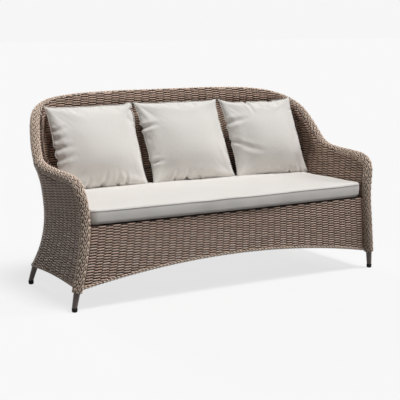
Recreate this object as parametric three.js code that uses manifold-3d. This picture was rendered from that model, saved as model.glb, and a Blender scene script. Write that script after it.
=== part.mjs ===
// Three-seat rattan garden sofa: a bent tube frame with woven panels stretched over it, a plaited border that
// covers the hoop of the frame, a loose seat cushion and three loose scatter cushions.
// Millimetres, +Z up, the front towards -Y, +X to the right as seen from the front.
// The origin is on the floor, under the middle of the sofa.
//
// The woven body is one surface, bodyPoint(around, height). around runs from 0 at the front post, along the
// side and round the rear corner to 1 at the middle of the back. Posts, rails, borders, panels and hems all
// take their places from it.
import * as THREE from "three";
import { mergeVertices } from "three/addons/utils/BufferGeometryUtils.js";
import Module from "manifold-3d";

const wasm = await Module();
wasm.setup();

// Main sizes of the body
const HALF_WIDTH = 808; // middle of the body to the side weave, at the hem of the front post
const FRONT_REACH = 371; // middle of the body forward to the front post, at seat height
const BACK_REACH = 326; // middle of the body back to the back weave, at the top
const BACK_HEIGHT = 889; // floor to the middle of the top rail
const SEAT_HEIGHT = 380; // floor to the underside of the seat cushion

// Tubes, plait and weave
const WEAVE_THICKNESS = 8;
const RIDGE_HEIGHT = 3; // the rows swell over their stakes: a low ridge on the outside over every few stakes
const RIDGE_WIDTH = 18;
const SIDE_RIDGE_SPACING = 92;
const RIDGE_SPACING = 125; // on the back and the apron
const RAIL_RADIUS = 14;
const RAIL_WALL = 2;
const BORDER_RADIUS = 21; // outside of the plait round the hoop
const BORDER_OFFSET = 12; // middle of the weave out to the middle of the hoop
const UPRIGHT_RADIUS = 10;
const UPRIGHT_WALL = 1.5;
const HEM_RADIUS = 8;
const HEM_ROD_RADIUS = 4;
const CLEARANCE = 0.3; // between pieces that touch
const OVERRUN = 20; // how far a piece is made too long before it is cut to its neighbour

// Legs and glides
const LEG_TOP_RADIUS = 15;
const LEG_FOOT_RADIUS = 12;
const GLIDE_RADIUS = 13;
const GLIDE_FLAT_RADIUS = 10;
const GLIDE_HEIGHT = 20;
const HEM_HEIGHT = 90; // floor to the plait's end at the posts, and to the hem at the rear corners
const FRONT_LEG_SPREAD = 10; // foot out from the post, along X
const FRONT_LEG_SETBACK = 7; // foot back from the post, along Y
const REAR_LEG_SPREAD = 19;
const REAR_LEG_SETBACK = 10;

// Hems
const FRONT_ARCH_RISE = 78;
const SIDE_ARCH_RISE = 14;
const REAR_ARCH_RISE = 70;
const APRON_SETBACK = 8; // front post's middle back to the front weave's middle

// Seat frame
const SEAT_RAIL_SIZE = 22;
const CROSS_BAR_SIZE = 18;
const CROSS_BAR_COUNT = 3;
const DECK_THICKNESS = 7;
const DECK_CORNER_RADIUS = 120;
const BACK_UPRIGHT_SPACING = 500; // between the two uprights behind the cushions

// Cushions
const SEAT_CUSHION_THICKNESS = 70;
const SEAT_CUSHION_CROWN = 8;
const SEAT_CUSHION_EDGE = 12; // rounding along its edges
const SEAT_CUSHION_DRAW_IN = 3;
const SEAT_CUSHION_OVERHANG = 10; // past the middle of the front post
const SEAT_CUSHION_FRONT_BOW = 10;
const SEAT_CUSHION_FRONT_CORNER = 30;
const SEAT_CUSHION_REAR_CORNER = 130;
const SEAT_CUSHION_SIDE_GAP = 3;
const PILLOW_WIDTH = 480;
const RIGHT_PILLOW_WIDTH = 438; // squeezed in between the middle one and the arm
const PILLOW_HEIGHT = 416;
const PILLOW_FRONT_CROWN = 74;
const PILLOW_BACK_CROWN = 56;
const PILLOW_EDGE_DIP = 17; // the seam draws in this far between the corners

// How the three scatter cushions stand: their feet along X, how far the head is forward of the back's line,
// how far it lies to the left of the foot, the lean beyond the back's own and the turn about the vertical
const MIDDLE_PILLOW_SHIFT = 82;
const LEFT_PILLOW_SPACING = 510;
const RIGHT_PILLOW_SPACING = 459;
const LEFT_PILLOW_HEAD_GAP = 60;
const MIDDLE_PILLOW_HEAD_GAP = 62;
const RIGHT_PILLOW_HEAD_GAP = 103;
const LEFT_PILLOW_SLUMP = 30;
const MIDDLE_PILLOW_SLUMP = 58;
const RIGHT_PILLOW_SLUMP = 58;
const LEFT_PILLOW_LEAN = THREE.MathUtils.degToRad(5.7);
const MIDDLE_PILLOW_LEAN = THREE.MathUtils.degToRad(5.7);
const RIGHT_PILLOW_LEAN = THREE.MathUtils.degToRad(5.7);
const LEFT_PILLOW_TURN = THREE.MathUtils.degToRad(2);
const MIDDLE_PILLOW_TURN = THREE.MathUtils.degToRad(-2);
const RIGHT_PILLOW_TURN = THREE.MathUtils.degToRad(-4);

// How finely round forms are faceted
const RAIL_SIDES = 8;
const LEG_SIDES = 16;

// Middle of the body to the middle of the whole sofa, along Y
const frontExtent = FRONT_REACH + BORDER_RADIUS;
const rearExtent = BACK_REACH + BORDER_OFFSET + BORDER_RADIUS;
const middleShift = (frontExtent - rearExtent) / 2;

// Body profiles: each row is a share of BACK_HEIGHT and a share of the size named in the function below
const frontWidthShares = [
  [0.1, 1], [0.277, 0.97], [0.426, 0.954], [0.531, 0.96], [0.596, 0.972], [0.67, 0.978], [1, 0.978],
];
const rearWidthShares = [
  [0.1, 1.006], [0.23, 0.963], [0.382, 0.947], [0.55, 0.958], [0.62, 0.976], [0.67, 0.995], [0.72, 0.991],
  [0.8, 0.973], [0.88, 0.958], [1, 0.955],
];
const frontLineShares = [
  [0.1, 0.962], [0.277, 0.997], [0.426, 1], [0.531, 0.992], [0.596, 0.976], [0.67, 0.965], [1, 0.965],
];
const backLineShares = [[0.1, 0.782], [0.23, 0.736], [0.382, 0.733], [0.589, 0.794], [0.827, 0.905], [1, 1]];
const cornerRadiusShares = [
  [0.1, 0.276], [0.23, 0.368], [0.382, 0.46], [0.589, 0.491], [0.827, 0.54], [1, 0.6],
];
const SIDE_END_SHARE = 0.36; // where the side ends and the rear corner starts, along around
const CORNER_END_SHARE = 0.55; // where the rear corner ends and the back starts
const UPRIGHT_SHARE = 0.435; // the rear upright, inside the corner

// The hoop's line: shares along around, and shares of BACK_HEIGHT
const postLineShares = [[0, 0.12], [0, 0.2], [0, 0.29], [0, 0.38], [0, 0.46], [0, 0.53]];
const armLineShares = [
  [0, 0.562], [0.002, 0.585], [0.01, 0.613], [0.026, 0.633], [0.05, 0.643], [0.08, 0.648], [0.14, 0.652],
  [0.2, 0.656], [0.264, 0.666], [0.314, 0.692], [0.348, 0.747], [0.378, 0.818], [0.41, 0.885], [0.454, 0.935],
  [0.506, 0.968],
];
const backLineOfHoopShares = [[0.56, 0.984], [0.62, 0.992], [0.7, 0.997], [0.8, 1], [0.9, 1], [1, 1]];
const hoopShares = [...postLineShares, ...armLineShares, ...backLineOfHoopShares];

// A smooth function through rows of [x, y]
function smoothThrough(rows) {
  const slopes = rows.map((row, i) => {
    const before = rows[Math.max(i - 1, 0)];
    const after = rows[Math.min(i + 1, rows.length - 1)];
    return (after[1] - before[1]) / (after[0] - before[0]);
  });
  return (x) => {
    const at = THREE.MathUtils.clamp(x, rows[0][0], rows.at(-1)[0]);
    const i = Math.min(rows.findLastIndex((row) => row[0] <= at), rows.length - 2);
    const span = rows[i + 1][0] - rows[i][0];
    const t = (at - rows[i][0]) / span;
    return (
      (2 * t ** 3 - 3 * t ** 2 + 1) * rows[i][1] +
      (t ** 3 - 2 * t ** 2 + t) * span * slopes[i] +
      (3 * t ** 2 - 2 * t ** 3) * rows[i + 1][1] +
      (t ** 3 - t ** 2) * span * slopes[i + 1]
    );
  };
}

const [frontWidthShare, rearWidthShare, frontLineShare, backLineShare, cornerRadiusShare] = [
  frontWidthShares, rearWidthShares, frontLineShares, backLineShares, cornerRadiusShares,
].map(smoothThrough);
const frontHalfWidth = (z) => HALF_WIDTH * frontWidthShare(z / BACK_HEIGHT);
const rearHalfWidth = (z) => HALF_WIDTH * rearWidthShare(z / BACK_HEIGHT);
const frontLine = (z) => -FRONT_REACH * frontLineShare(z / BACK_HEIGHT);
const backLine = (z) => BACK_REACH * backLineShare(z / BACK_HEIGHT);
const cornerRadius = (z) => BACK_REACH * cornerRadiusShare(z / BACK_HEIGHT);

// The middle of the weave and its outward direction in plan. inward moves the point towards the seat;
// side is 1 for the +X half and -1 for the other.
function bodyPoint(around, z, side, inward = 0) {
  const radius = cornerRadius(z);
  const straightEnd = backLine(z) - radius;
  const place = new THREE.Vector3(0, 0, z);
  const outward = new THREE.Vector3();
  if (around <= SIDE_END_SHARE) {
    const t = around / SIDE_END_SHARE;
    place.x = THREE.MathUtils.lerp(frontHalfWidth(z), rearHalfWidth(z), t);
    place.y = THREE.MathUtils.lerp(frontLine(z), straightEnd, t);
    outward.set(1, 0, 0);
  } else if (around <= CORNER_END_SHARE) {
    const turn = ((around - SIDE_END_SHARE) / (CORNER_END_SHARE - SIDE_END_SHARE)) * (Math.PI / 2);
    outward.set(Math.cos(turn), Math.sin(turn), 0);
    place.x = rearHalfWidth(z) - radius + radius * outward.x;
    place.y = straightEnd + radius * outward.y;
  } else {
    const t = (around - CORNER_END_SHARE) / (1 - CORNER_END_SHARE);
    place.x = (rearHalfWidth(z) - radius) * (1 - t);
    place.y = backLine(z);
    outward.set(0, 1, 0);
  }
  place.addScaledVector(outward, -inward);
  place.x *= side;
  place.y += middleShift;
  return place;
}

// The hoop's middle at a row of [share around, share of BACK_HEIGHT]
const hoopPoint = ([around, heightShare], side) =>
  bodyPoint(around, BACK_HEIGHT * heightShare, side, -BORDER_OFFSET);
const rimShare = smoothThrough(hoopShares.filter((row, i) => i >= postLineShares.length));
const rimHeight = (around) => BACK_HEIGHT * rimShare(around);

// Heights of the hem's middle line, and the front weave's line
const hemFoot = HEM_HEIGHT + HEM_RADIUS;
const sideHem = (around) => hemFoot + SIDE_ARCH_RISE * Math.sin((Math.PI * around) / UPRIGHT_SHARE);
const rearHem = (around) => hemFoot + REAR_ARCH_RISE * (1 - ((1 - around) / (1 - UPRIGHT_SHARE)) ** 2);
const frontHem = (x) => hemFoot + FRONT_ARCH_RISE * (1 - (x / HALF_WIDTH) ** 2);
const hemHeight = (around) => (around < UPRIGHT_SHARE ? sideHem(around) : rearHem(around));
const apronLine = (z) => frontLine(z) + APRON_SETBACK + middleShift;

// A curve whose steps follow its points, so that tight bends get short steps and straight runs long ones
class PointSpacedCurve extends THREE.CatmullRomCurve3 {
  getUtoTmapping(u) {
    return u;
  }
}

function material(color, roughness, metalness = 0) {
  return new THREE.MeshStandardMaterial({ color, roughness, metalness });
}
const materials = {
  frame: () => material(0x4a4038, 0.5, 0.6),
  weave: () => material(0x8b776a, 0.75),
  plait: () => material(0xa08c7e, 0.75),
  fabric: () => material(0xd6d2cc, 0.95),
  glide: () => material(0x1a1a1a, 0.6),
};

// Round section, hollow where bore is given
function ring(radius, bore, sides) {
  const circle = (r, Kind) => {
    const points = Array.from({ length: sides }, (_, i) => {
      const angle = (2 * Math.PI * i) / sides;
      return new THREE.Vector2(r * Math.cos(angle), r * Math.sin(angle));
    });
    return new Kind(points);
  };
  const shape = circle(radius, THREE.Shape);
  if (bore) shape.holes.push(circle(bore, THREE.Path));
  return shape;
}

function tubeAlong(points, radius, bore = 0, { sides = RAIL_SIDES, stepsEach = 1 } = {}) {
  const path = new PointSpacedCurve(points, false, "catmullrom", 0.5);
  const steps = (points.length - 1) * stepsEach;
  return new THREE.ExtrudeGeometry(ring(radius, bore, sides), { steps, extrudePath: path });
}

function solidOf(geometry) {
  const bare = new THREE.BufferGeometry();
  bare.setAttribute("position", geometry.getAttribute("position"));
  if (geometry.index) bare.setIndex(geometry.index);
  const merged = mergeVertices(bare, 1e-4);
  return new wasm.Manifold(
    new wasm.Mesh({
      numProp: 3,
      vertProperties: new Float32Array(merged.attributes.position.array),
      triVerts: new Uint32Array(merged.index.array),
    }),
  );
}

function geometryOf(solid) {
  const mesh = solid.getMesh();
  const geometry = new THREE.BufferGeometry();
  geometry.setAttribute("position", new THREE.BufferAttribute(new Float32Array(mesh.vertProperties), 3));
  geometry.setIndex(new THREE.BufferAttribute(new Uint32Array(mesh.triVerts), 1));
  return geometry;
}

// The geometry less what its neighbours fill
function cutBy(geometry, ...tools) {
  return geometryOf(tools.reduce((solid, tool) => solid.subtract(solidOf(tool)), solidOf(geometry)));
}

// A closed shell round a sheet of points: rows of places, thickened along each place's own outward direction.
// relief is what a place stands out further on the outside.
function sheetShell(rows, thickness) {
  const [rowCount, columnCount] = [rows.length, rows[0].length];
  const positions = [];
  for (const face of [1, -1])
    for (const row of rows)
      for (const { place, outward, relief = 0 } of row) {
        const offset = (face * thickness) / 2 + Math.max(face, 0) * relief;
        positions.push(...place.clone().addScaledVector(outward, offset).toArray());
      }
  const index = [];
  const at = (layer, i, j) => (layer * rowCount + i) * columnCount + j;
  const quad = (a, b, c, d) => index.push(a, b, c, a, c, d);
  for (let i = 0; i + 1 < rowCount; i++)
    for (let j = 0; j + 1 < columnCount; j++) {
      quad(at(0, i, j), at(0, i, j + 1), at(0, i + 1, j + 1), at(0, i + 1, j));
      quad(at(1, i, j), at(1, i + 1, j), at(1, i + 1, j + 1), at(1, i, j + 1));
    }
  for (let j = 0; j + 1 < columnCount; j++) {
    quad(at(1, 0, j), at(1, 0, j + 1), at(0, 0, j + 1), at(0, 0, j));
    const end = rowCount - 1;
    quad(at(0, end, j), at(0, end, j + 1), at(1, end, j + 1), at(1, end, j));
  }
  for (let i = 0; i + 1 < rowCount; i++) {
    const end = columnCount - 1;
    quad(at(0, i, 0), at(0, i + 1, 0), at(1, i + 1, 0), at(1, i, 0));
    quad(at(1, i, end), at(1, i + 1, end), at(0, i + 1, end), at(0, i, end));
  }
  const geometry = new THREE.BufferGeometry();
  geometry.setAttribute("position", new THREE.Float32BufferAttribute(positions, 3));
  geometry.setIndex(index);
  if (solidOf(geometry).volume() < 0) {
    for (let i = 0; i < index.length; i += 3) [index[i + 1], index[i + 2]] = [index[i + 2], index[i + 1]];
    geometry.setIndex(index);
  }
  return geometry;
}

// A closed solid from rings of points, each ring with as many points, and a middle point at both ends
function ringSolid(rings, firstMiddle, lastMiddle) {
  const count = rings[0].length;
  const positions = [...rings.flat(), firstMiddle, lastMiddle].flatMap((p) => p.toArray());
  const [first, last] = [rings.length * count, rings.length * count + 1];
  const index = [];
  for (let j = 0; j < count; j++) {
    const next = (j + 1) % count;
    index.push(first, next, j);
    for (let i = 0; i + 1 < rings.length; i++) {
      const [a, b] = [i * count, (i + 1) * count];
      index.push(a + j, a + next, b + next, a + j, b + next, b + j);
    }
    index.push(last, (rings.length - 1) * count + j, (rings.length - 1) * count + next);
  }
  const geometry = new THREE.BufferGeometry();
  geometry.setAttribute("position", new THREE.Float32BufferAttribute(positions, 3));
  geometry.setIndex(index);
  return geometry;
}

const sofa = new THREE.Group();
function add(name, geometry, finish, place) {
  const mesh = new THREE.Mesh(geometry, materials[finish]());
  mesh.name = name;
  if (place) mesh.position.copy(place);
  sofa.add(mesh);
  return mesh;
}
const SIDES = [["left", -1], ["right", 1]];
const bothSides = (build) => SIDES.forEach(([word, side]) => build(word, side));

// Hoop: front posts, arm rails and back rail, each a tube in a plaited border
const segments = {
  front_post: postLineShares,
  arm: armLineShares,
};
const hoopLine = (rows, side) => rows.map((row) => hoopPoint(row, side));
const postFoot = (side) => hoopPoint([0, HEM_HEIGHT / BACK_HEIGHT], side);

// Everything under the posts' level ends, where the legs take over
const belowHem = new THREE.BoxGeometry(4 * HALF_WIDTH, 4 * HALF_WIDTH, HEM_HEIGHT);
belowHem.translate(0, 0, HEM_HEIGHT / 2);

// Ends of neighbouring stretches meet half way, less the clearance
function meetingPoint(rowBefore, rowAfter, side, towards) {
  const [before, after] = [hoopPoint(rowBefore, side), hoopPoint(rowAfter, side)];
  const gap = after.clone().sub(before).setLength(CLEARANCE / 2);
  return before.clone().lerp(after, 0.5).addScaledVector(gap, towards);
}

function stretchPoints(kind, side) {
  const line = hoopLine(segments[kind], side);
  const postTop = (towards) => meetingPoint(postLineShares.at(-1), armLineShares[0], side, towards);
  const foot = hoopPoint([0, (HEM_HEIGHT - OVERRUN) / BACK_HEIGHT], side);
  if (kind === "front_post") return [foot, ...line, postTop(-1)];
  return [postTop(1), ...line, meetingPoint(armLineShares.at(-1), backLineOfHoopShares[0], side, -1)];
}

function backRailPoints() {
  const half = (side) => [
    meetingPoint(armLineShares.at(-1), backLineOfHoopShares[0], side, 1),
    ...hoopLine(backLineOfHoopShares.slice(0, -1), side),
  ];
  return [...half(-1), hoopPoint(backLineOfHoopShares.at(-1), 1), ...half(1).reverse()];
}

const railBore = RAIL_RADIUS - RAIL_WALL;
const borderBore = RAIL_RADIUS + CLEARANCE;
const borderCutter = (points) => tubeAlong(points, BORDER_RADIUS + CLEARANCE);
const hoopCutters = [borderCutter(backRailPoints())];
bothSides((word, side) => {
  for (const kind of Object.keys(segments)) {
    const points = stretchPoints(kind, side);
    add(`${word}_${kind}_tube`, cutBy(tubeAlong(points, RAIL_RADIUS, railBore), belowHem), "frame");
    add(`${word}_${kind}_border`, cutBy(tubeAlong(points, BORDER_RADIUS, borderBore), belowHem), "plait");
    hoopCutters.push(borderCutter(points));
  }
});
add("back_rail_tube", tubeAlong(backRailPoints(), RAIL_RADIUS, railBore), "frame");
add("back_rail_border", tubeAlong(backRailPoints(), BORDER_RADIUS, borderBore), "plait");

// Uprights: inside the weave, from the rear legs or the rear seat rail up to the hoop
const uprightInset = WEAVE_THICKNESS / 2 + CLEARANCE + UPRIGHT_RADIUS;
const uprightHeightShares = [0, 0.12, 0.24, 0.36, 0.5, 0.65, 0.82, 1];
function uprightPoints(around, side, from) {
  const top = rimHeight(around);
  return uprightHeightShares.map((share) =>
    bodyPoint(around, THREE.MathUtils.lerp(from, top, share), side, uprightInset),
  );
}
const railTop = SEAT_HEIGHT - CLEARANCE - DECK_THICKNESS - CLEARANCE;
const railMiddle = railTop - SEAT_RAIL_SIZE / 2;
const backStraightHalf = rearHalfWidth(railMiddle) - cornerRadius(railMiddle);
const backUprightAround = 1 - ((1 - CORNER_END_SHARE) * BACK_UPRIGHT_SPACING) / 2 / backStraightHalf;
const uprightBore = UPRIGHT_RADIUS - UPRIGHT_WALL;
const uprightCutters = [];
const backUprightCutters = [];
bothSides((word, side) => {
  const corner = uprightPoints(UPRIGHT_SHARE, side, HEM_HEIGHT - OVERRUN);
  const inner = uprightPoints(backUprightAround, side, railTop + CLEARANCE);
  const [cornerTube, innerTube] = [corner, inner].map((line) => tubeAlong(line, UPRIGHT_RADIUS, uprightBore));
  add(`${word}_rear_upright`, cutBy(cornerTube, belowHem, ...hoopCutters), "frame");
  add(`${word}_back_upright`, cutBy(innerTube, ...hoopCutters), "frame");
  uprightCutters.push(tubeAlong(corner, UPRIGHT_RADIUS + CLEARANCE));
  backUprightCutters.push(tubeAlong(inner, UPRIGHT_RADIUS + CLEARANCE));
});

// Legs: tapered, leaning outwards, with level ends; each stands on a black glide
function leg(top, foot) {
  const height = top.z - foot.z;
  const geometry = new THREE.CylinderGeometry(LEG_TOP_RADIUS, LEG_FOOT_RADIUS, height, LEG_SIDES);
  geometry.rotateX(Math.PI / 2);
  geometry.translate(0, 0, height / 2);
  const [leanX, leanY] = [(top.x - foot.x) / height, (top.y - foot.y) / height];
  geometry.applyMatrix4(new THREE.Matrix4().set(1, 0, leanX, 0, 0, 1, leanY, 0, 0, 0, 1, 0, 0, 0, 0, 1));
  return geometry;
}

function glide() {
  const roundShares = [[1, 0.25], [1, 1]];
  const profile = [
    new THREE.Vector2(0, 0),
    new THREE.Vector2(GLIDE_FLAT_RADIUS, 0),
    ...roundShares.map(([r, z]) => new THREE.Vector2(GLIDE_RADIUS * r, GLIDE_HEIGHT * z)),
    new THREE.Vector2(0, GLIDE_HEIGHT),
  ];
  return new THREE.LatheGeometry(profile, LEG_SIDES).rotateX(Math.PI / 2);
}

bothSides((word, side) => {
  const tops = {
    front: [postFoot(side), FRONT_LEG_SPREAD, FRONT_LEG_SETBACK],
    rear: [bodyPoint(UPRIGHT_SHARE, HEM_HEIGHT, side, uprightInset), REAR_LEG_SPREAD, REAR_LEG_SETBACK],
  };
  for (const [end, [under, spread, setback]] of Object.entries(tops)) {
    const top = under.clone();
    top.z = HEM_HEIGHT - CLEARANCE;
    const foot = new THREE.Vector3(under.x + side * spread, under.y + setback, GLIDE_HEIGHT + CLEARANCE);
    add(`${end}_${word}_leg`, leg(top, foot), "frame", foot);
    add(`${end}_${word}_glide`, glide(), "glide", new THREE.Vector3(foot.x, foot.y, 0));
  }
});

// Hems: a rope of two strands round a rod, along the lower edge of each panel
const hemSideShares = [0, 0.08, 0.2, 0.34, 0.48, 0.62, 0.74, 0.84, 0.92, 1];
const hemRearShares = [0, 0.05, 0.1, 0.16, 0.26, 0.42, 0.6, 0.8, 1];
const hemFrontShares = [-1, -0.75, -0.5, -0.25, 0, 0.25, 0.5, 0.75, 1];
const sideHemLine = (side) =>
  hemSideShares.map((share) => {
    const around = share * UPRIGHT_SHARE;
    return bodyPoint(around, sideHem(around), side);
  });
function rearHemLine() {
  const half = (side) =>
    hemRearShares.map((share) => {
      const around = THREE.MathUtils.lerp(UPRIGHT_SHARE, 1, share);
      return bodyPoint(around, rearHem(around), side);
    });
  return [...half(-1), ...half(1).reverse().slice(1)];
}
const frontHemLine = () =>
  hemFrontShares.map((share) => {
    const x = share * frontHalfWidth(HEM_HEIGHT);
    return new THREE.Vector3(x, apronLine(frontHem(x)), frontHem(x));
  });

// Both ends of a hem stop short of the next hem
function shortened(points) {
  const line = points.map((p) => p.clone());
  for (const [end, next] of [[0, 1], [line.length - 1, line.length - 2]]) {
    const back = line[next].clone().sub(line[end]).setLength(CLEARANCE);
    line[end].add(back);
  }
  return line;
}
const legTubeCutters = SIDES.map(([, side]) => borderCutter(stretchPoints("front_post", side)));
const hemCutters = [];
function addHem(name, points) {
  const line = shortened(points);
  const cutters = [...legTubeCutters, ...hemCutters];
  hemCutters.push(tubeAlong(line, HEM_RADIUS + CLEARANCE));
  add(`${name}_hem_rod`, cutBy(tubeAlong(line, HEM_ROD_RADIUS), ...cutters), "frame");
  add(`${name}_hem`, cutBy(tubeAlong(line, HEM_RADIUS, HEM_ROD_RADIUS + CLEARANCE), ...cutters), "plait");
}
addHem("front", frontHemLine());
addHem("rear", rearHemLine());
bothSides((word, side) => addHem(word, sideHemLine(side)));

// Woven panels: two sides, the back and the front apron
const panelRowShares = [0, 0.1, 0.2, 0.32, 0.44, 0.55, 0.63, 0.69, 0.75, 0.85, 0.93, 1];
const sidePlainShares = [0, 0.01, 0.022, 0.29, SIDE_END_SHARE, 0.38, 0.418, UPRIGHT_SHARE];
const backPlainShares = [UPRIGHT_SHARE, 0.46, 0.51, 0.53, CORNER_END_SHARE, 1];

// Shares around and distances along the weave at seat height, both from the front post
const seatCornerRadius = cornerRadius(SEAT_HEIGHT);
const sideRun = backLine(SEAT_HEIGHT) - seatCornerRadius - frontLine(SEAT_HEIGHT);
const cornerRun = (seatCornerRadius * Math.PI) / 2;
const backRun = rearHalfWidth(SEAT_HEIGHT) - seatCornerRadius;
const runs = [
  [0, 0],
  [SIDE_END_SHARE, sideRun],
  [CORNER_END_SHARE, sideRun + cornerRun],
  [1, sideRun + cornerRun + backRun],
];
function readRuns(value, from, to) {
  const i = Math.max(runs.findIndex((row) => row[from] >= value), 1);
  return THREE.MathUtils.mapLinear(value, runs[i - 1][from], runs[i][from], runs[i - 1][to], runs[i][to]);
}
const distanceAt = (around) => readRuns(around, 0, 1);
const aroundAt = (distance) => readRuns(distance, 1, 0);

// Evenly spaced ridges between two distances: the middle of each, and its foot, crest and foot
function crestsBetween(start, end, spacing) {
  const count = Math.max(Math.round((end - start) / spacing), 1);
  return Array.from({ length: count }, (_, k) => start + ((k + 0.5) * (end - start)) / count);
}
const ridgeAt = (crest) => [
  { distance: crest - RIDGE_WIDTH / 2, relief: 0 },
  { distance: crest, relief: RIDGE_HEIGHT },
  { distance: crest + RIDGE_WIDTH / 2, relief: 0 },
];

// Ridges among the plain columns that are clear of them
function ridgedColumns(plainShares, spacing) {
  const crests = crestsBetween(distanceAt(plainShares[0]), distanceAt(plainShares.at(-1)), spacing);
  const isClear = (around) => crests.every((crest) => Math.abs(distanceAt(around) - crest) > RIDGE_WIDTH);
  const isEnd = (around) => around === plainShares[0] || around === plainShares.at(-1);
  const plain = plainShares.filter((around) => isEnd(around) || isClear(around));
  const ridges = crests.flatMap(ridgeAt);
  const columns = [
    ...plain.map((around) => ({ around, relief: 0 })),
    ...ridges.map(({ distance, relief }) => ({ around: aroundAt(distance), relief })),
  ];
  return columns.sort((a, b) => a.around - b.around);
}
const sideColumns = ridgedColumns(sidePlainShares, SIDE_RIDGE_SPACING);
const backColumns = ridgedColumns(backPlainShares, RIDGE_SPACING);

function panelColumn({ around, relief }, side, seam = 0) {
  const foot = hemHeight(around) + HEM_RADIUS + CLEARANCE;
  return panelRowShares.map((share) => {
    const z = THREE.MathUtils.lerp(foot, rimHeight(around), share);
    const place = bodyPoint(around, z, side, 0);
    const outward = bodyPoint(around, z, side, -1).sub(place);
    const along = new THREE.Vector3(-outward.y, outward.x, 0).multiplyScalar(side);
    return { place: place.addScaledVector(along, seam), outward, relief };
  });
}

// Where two panels meet at the rear upright, each keeps half the clearance
const seamOf = ({ around }, sign) => (around === UPRIGHT_SHARE ? (sign * CLEARANCE) / 2 : 0);
function sidePanel(side, thickness = WEAVE_THICKNESS) {
  const columns = sideColumns.map((column) => panelColumn(column, side, seamOf(column, -1)));
  return sheetShell(columns, thickness);
}
function backPanel() {
  const half = (side) => backColumns.map((column) => panelColumn(column, side, seamOf(column, 1)));
  return sheetShell([...half(-1), ...half(1).reverse().slice(1)], WEAVE_THICKNESS);
}
function frontPanel() {
  const ends = [-HALF_WIDTH, HALF_WIDTH].map((distance) => ({ distance, relief: 0 }));
  const ridges = crestsBetween(-HALF_WIDTH, HALF_WIDTH, RIDGE_SPACING).flatMap(ridgeAt);
  const rowShares = [0, 0.33, 0.66, 1];
  const top = SEAT_HEIGHT - CLEARANCE - DECK_THICKNESS;
  return sheetShell(
    [ends[0], ...ridges, ends[1]].map(({ distance, relief }) =>
      rowShares.map((rowShare) => {
        const hem = frontHem(distance) + HEM_RADIUS + CLEARANCE;
        const z = THREE.MathUtils.lerp(hem, top, rowShare);
        const half = frontHalfWidth(z) - WEAVE_THICKNESS / 2 - CLEARANCE;
        const place = new THREE.Vector3((distance / HALF_WIDTH) * half, apronLine(z), z);
        return { place, outward: new THREE.Vector3(0, -1, 0), relief };
      }),
    ),
    WEAVE_THICKNESS,
  );
}
const panelCutters = [...hoopCutters, ...hemCutters, ...uprightCutters];
const sidePanelCutters = SIDES.map(([, side]) => sidePanel(side, WEAVE_THICKNESS + 2 * CLEARANCE));
bothSides((word, side) => add(`${word}_side_weave`, cutBy(sidePanel(side), ...panelCutters), "weave"));
add("back_weave", cutBy(backPanel(), ...panelCutters, ...backUprightCutters), "weave");
add("front_weave", cutBy(frontPanel(), ...legTubeCutters, ...hemCutters, ...sidePanelCutters), "weave");

// Seat frame: four rails between the posts and rear uprights, cross bars, and the woven deck on top
const seatFrontY = apronLine(railMiddle) + WEAVE_THICKNESS / 2 + CLEARANCE + SEAT_RAIL_SIZE / 2;
const rearRailInset = WEAVE_THICKNESS / 2 + CLEARANCE + SEAT_RAIL_SIZE / 2;
const seatRearY = bodyPoint(1, railMiddle, 1, rearRailInset).y;
const frontPostAt = (side) => bodyPoint(0, railMiddle, side, -BORDER_OFFSET);
const rearUprightAt = (side) => bodyPoint(UPRIGHT_SHARE, railMiddle, side, uprightInset);

function beam(from, to, width, height) {
  const run = to.clone().sub(from);
  const geometry = new THREE.BoxGeometry(run.length(), width, height);
  geometry.rotateZ(Math.atan2(run.y, run.x));
  const middle = from.clone().lerp(to, 0.5);
  return geometry.translate(middle.x, middle.y, middle.z);
}
const across = (y, half) => [-half, half].map((x) => new THREE.Vector3(x, y, railMiddle));
const seatCutters = [...legTubeCutters, ...uprightCutters];
const frontRailHalf = bodyPoint(0, railMiddle, 1, WEAVE_THICKNESS / 2 + CLEARANCE).x - CLEARANCE;
const frontRailLine = across(seatFrontY, frontRailHalf);
const spaced = SEAT_RAIL_SIZE + 2 * CLEARANCE;
const rearUprightGap = rearUprightAt(1).x - UPRIGHT_RADIUS;
const frontRail = beam(...frontRailLine, SEAT_RAIL_SIZE, SEAT_RAIL_SIZE);
add("front_seat_rail", cutBy(frontRail, ...seatCutters, ...sidePanelCutters), "frame");
seatCutters.push(beam(...frontRailLine, spaced, spaced));
const sideRailInset = rearRailInset + UPRIGHT_RADIUS;
bothSides((word, side) => {
  const start = frontPostAt(side);
  start.x = bodyPoint(0, railMiddle, side, sideRailInset).x;
  start.y = seatFrontY + SEAT_RAIL_SIZE / 2 + CLEARANCE;
  const end = rearUprightAt(side);
  const rail = beam(start, end, SEAT_RAIL_SIZE, SEAT_RAIL_SIZE);
  add(`${word}_seat_rail`, cutBy(rail, ...seatCutters), "frame");
  seatCutters.push(beam(start, end, spaced, spaced));
});

// The rear rail bends round both rear corners, from one rear upright to the other
const railBendShares = [0, 0.06, 0.12, 0.19, 0.26, 0.45, 1];
function rearRail() {
  const half = (side) =>
    railBendShares.map((share) => {
      const around = THREE.MathUtils.lerp(UPRIGHT_SHARE, 1, share);
      return bodyPoint(around, railMiddle, side, rearRailInset + UPRIGHT_RADIUS);
    });
  const points = [...half(-1), ...half(1).reverse().slice(1)];
  const corner = SEAT_RAIL_SIZE / 2;
  const corners = [[-1, -1], [1, -1], [1, 1], [-1, 1]];
  const square = corners.map(([u, v]) => new THREE.Vector2(u * corner, v * corner));
  const path = new PointSpacedCurve(points, false, "catmullrom", 0.5);
  return new THREE.ExtrudeGeometry(new THREE.Shape(square), { steps: points.length - 1, extrudePath: path });
}
add("rear_seat_rail", cutBy(rearRail(), ...seatCutters), "frame");

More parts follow.
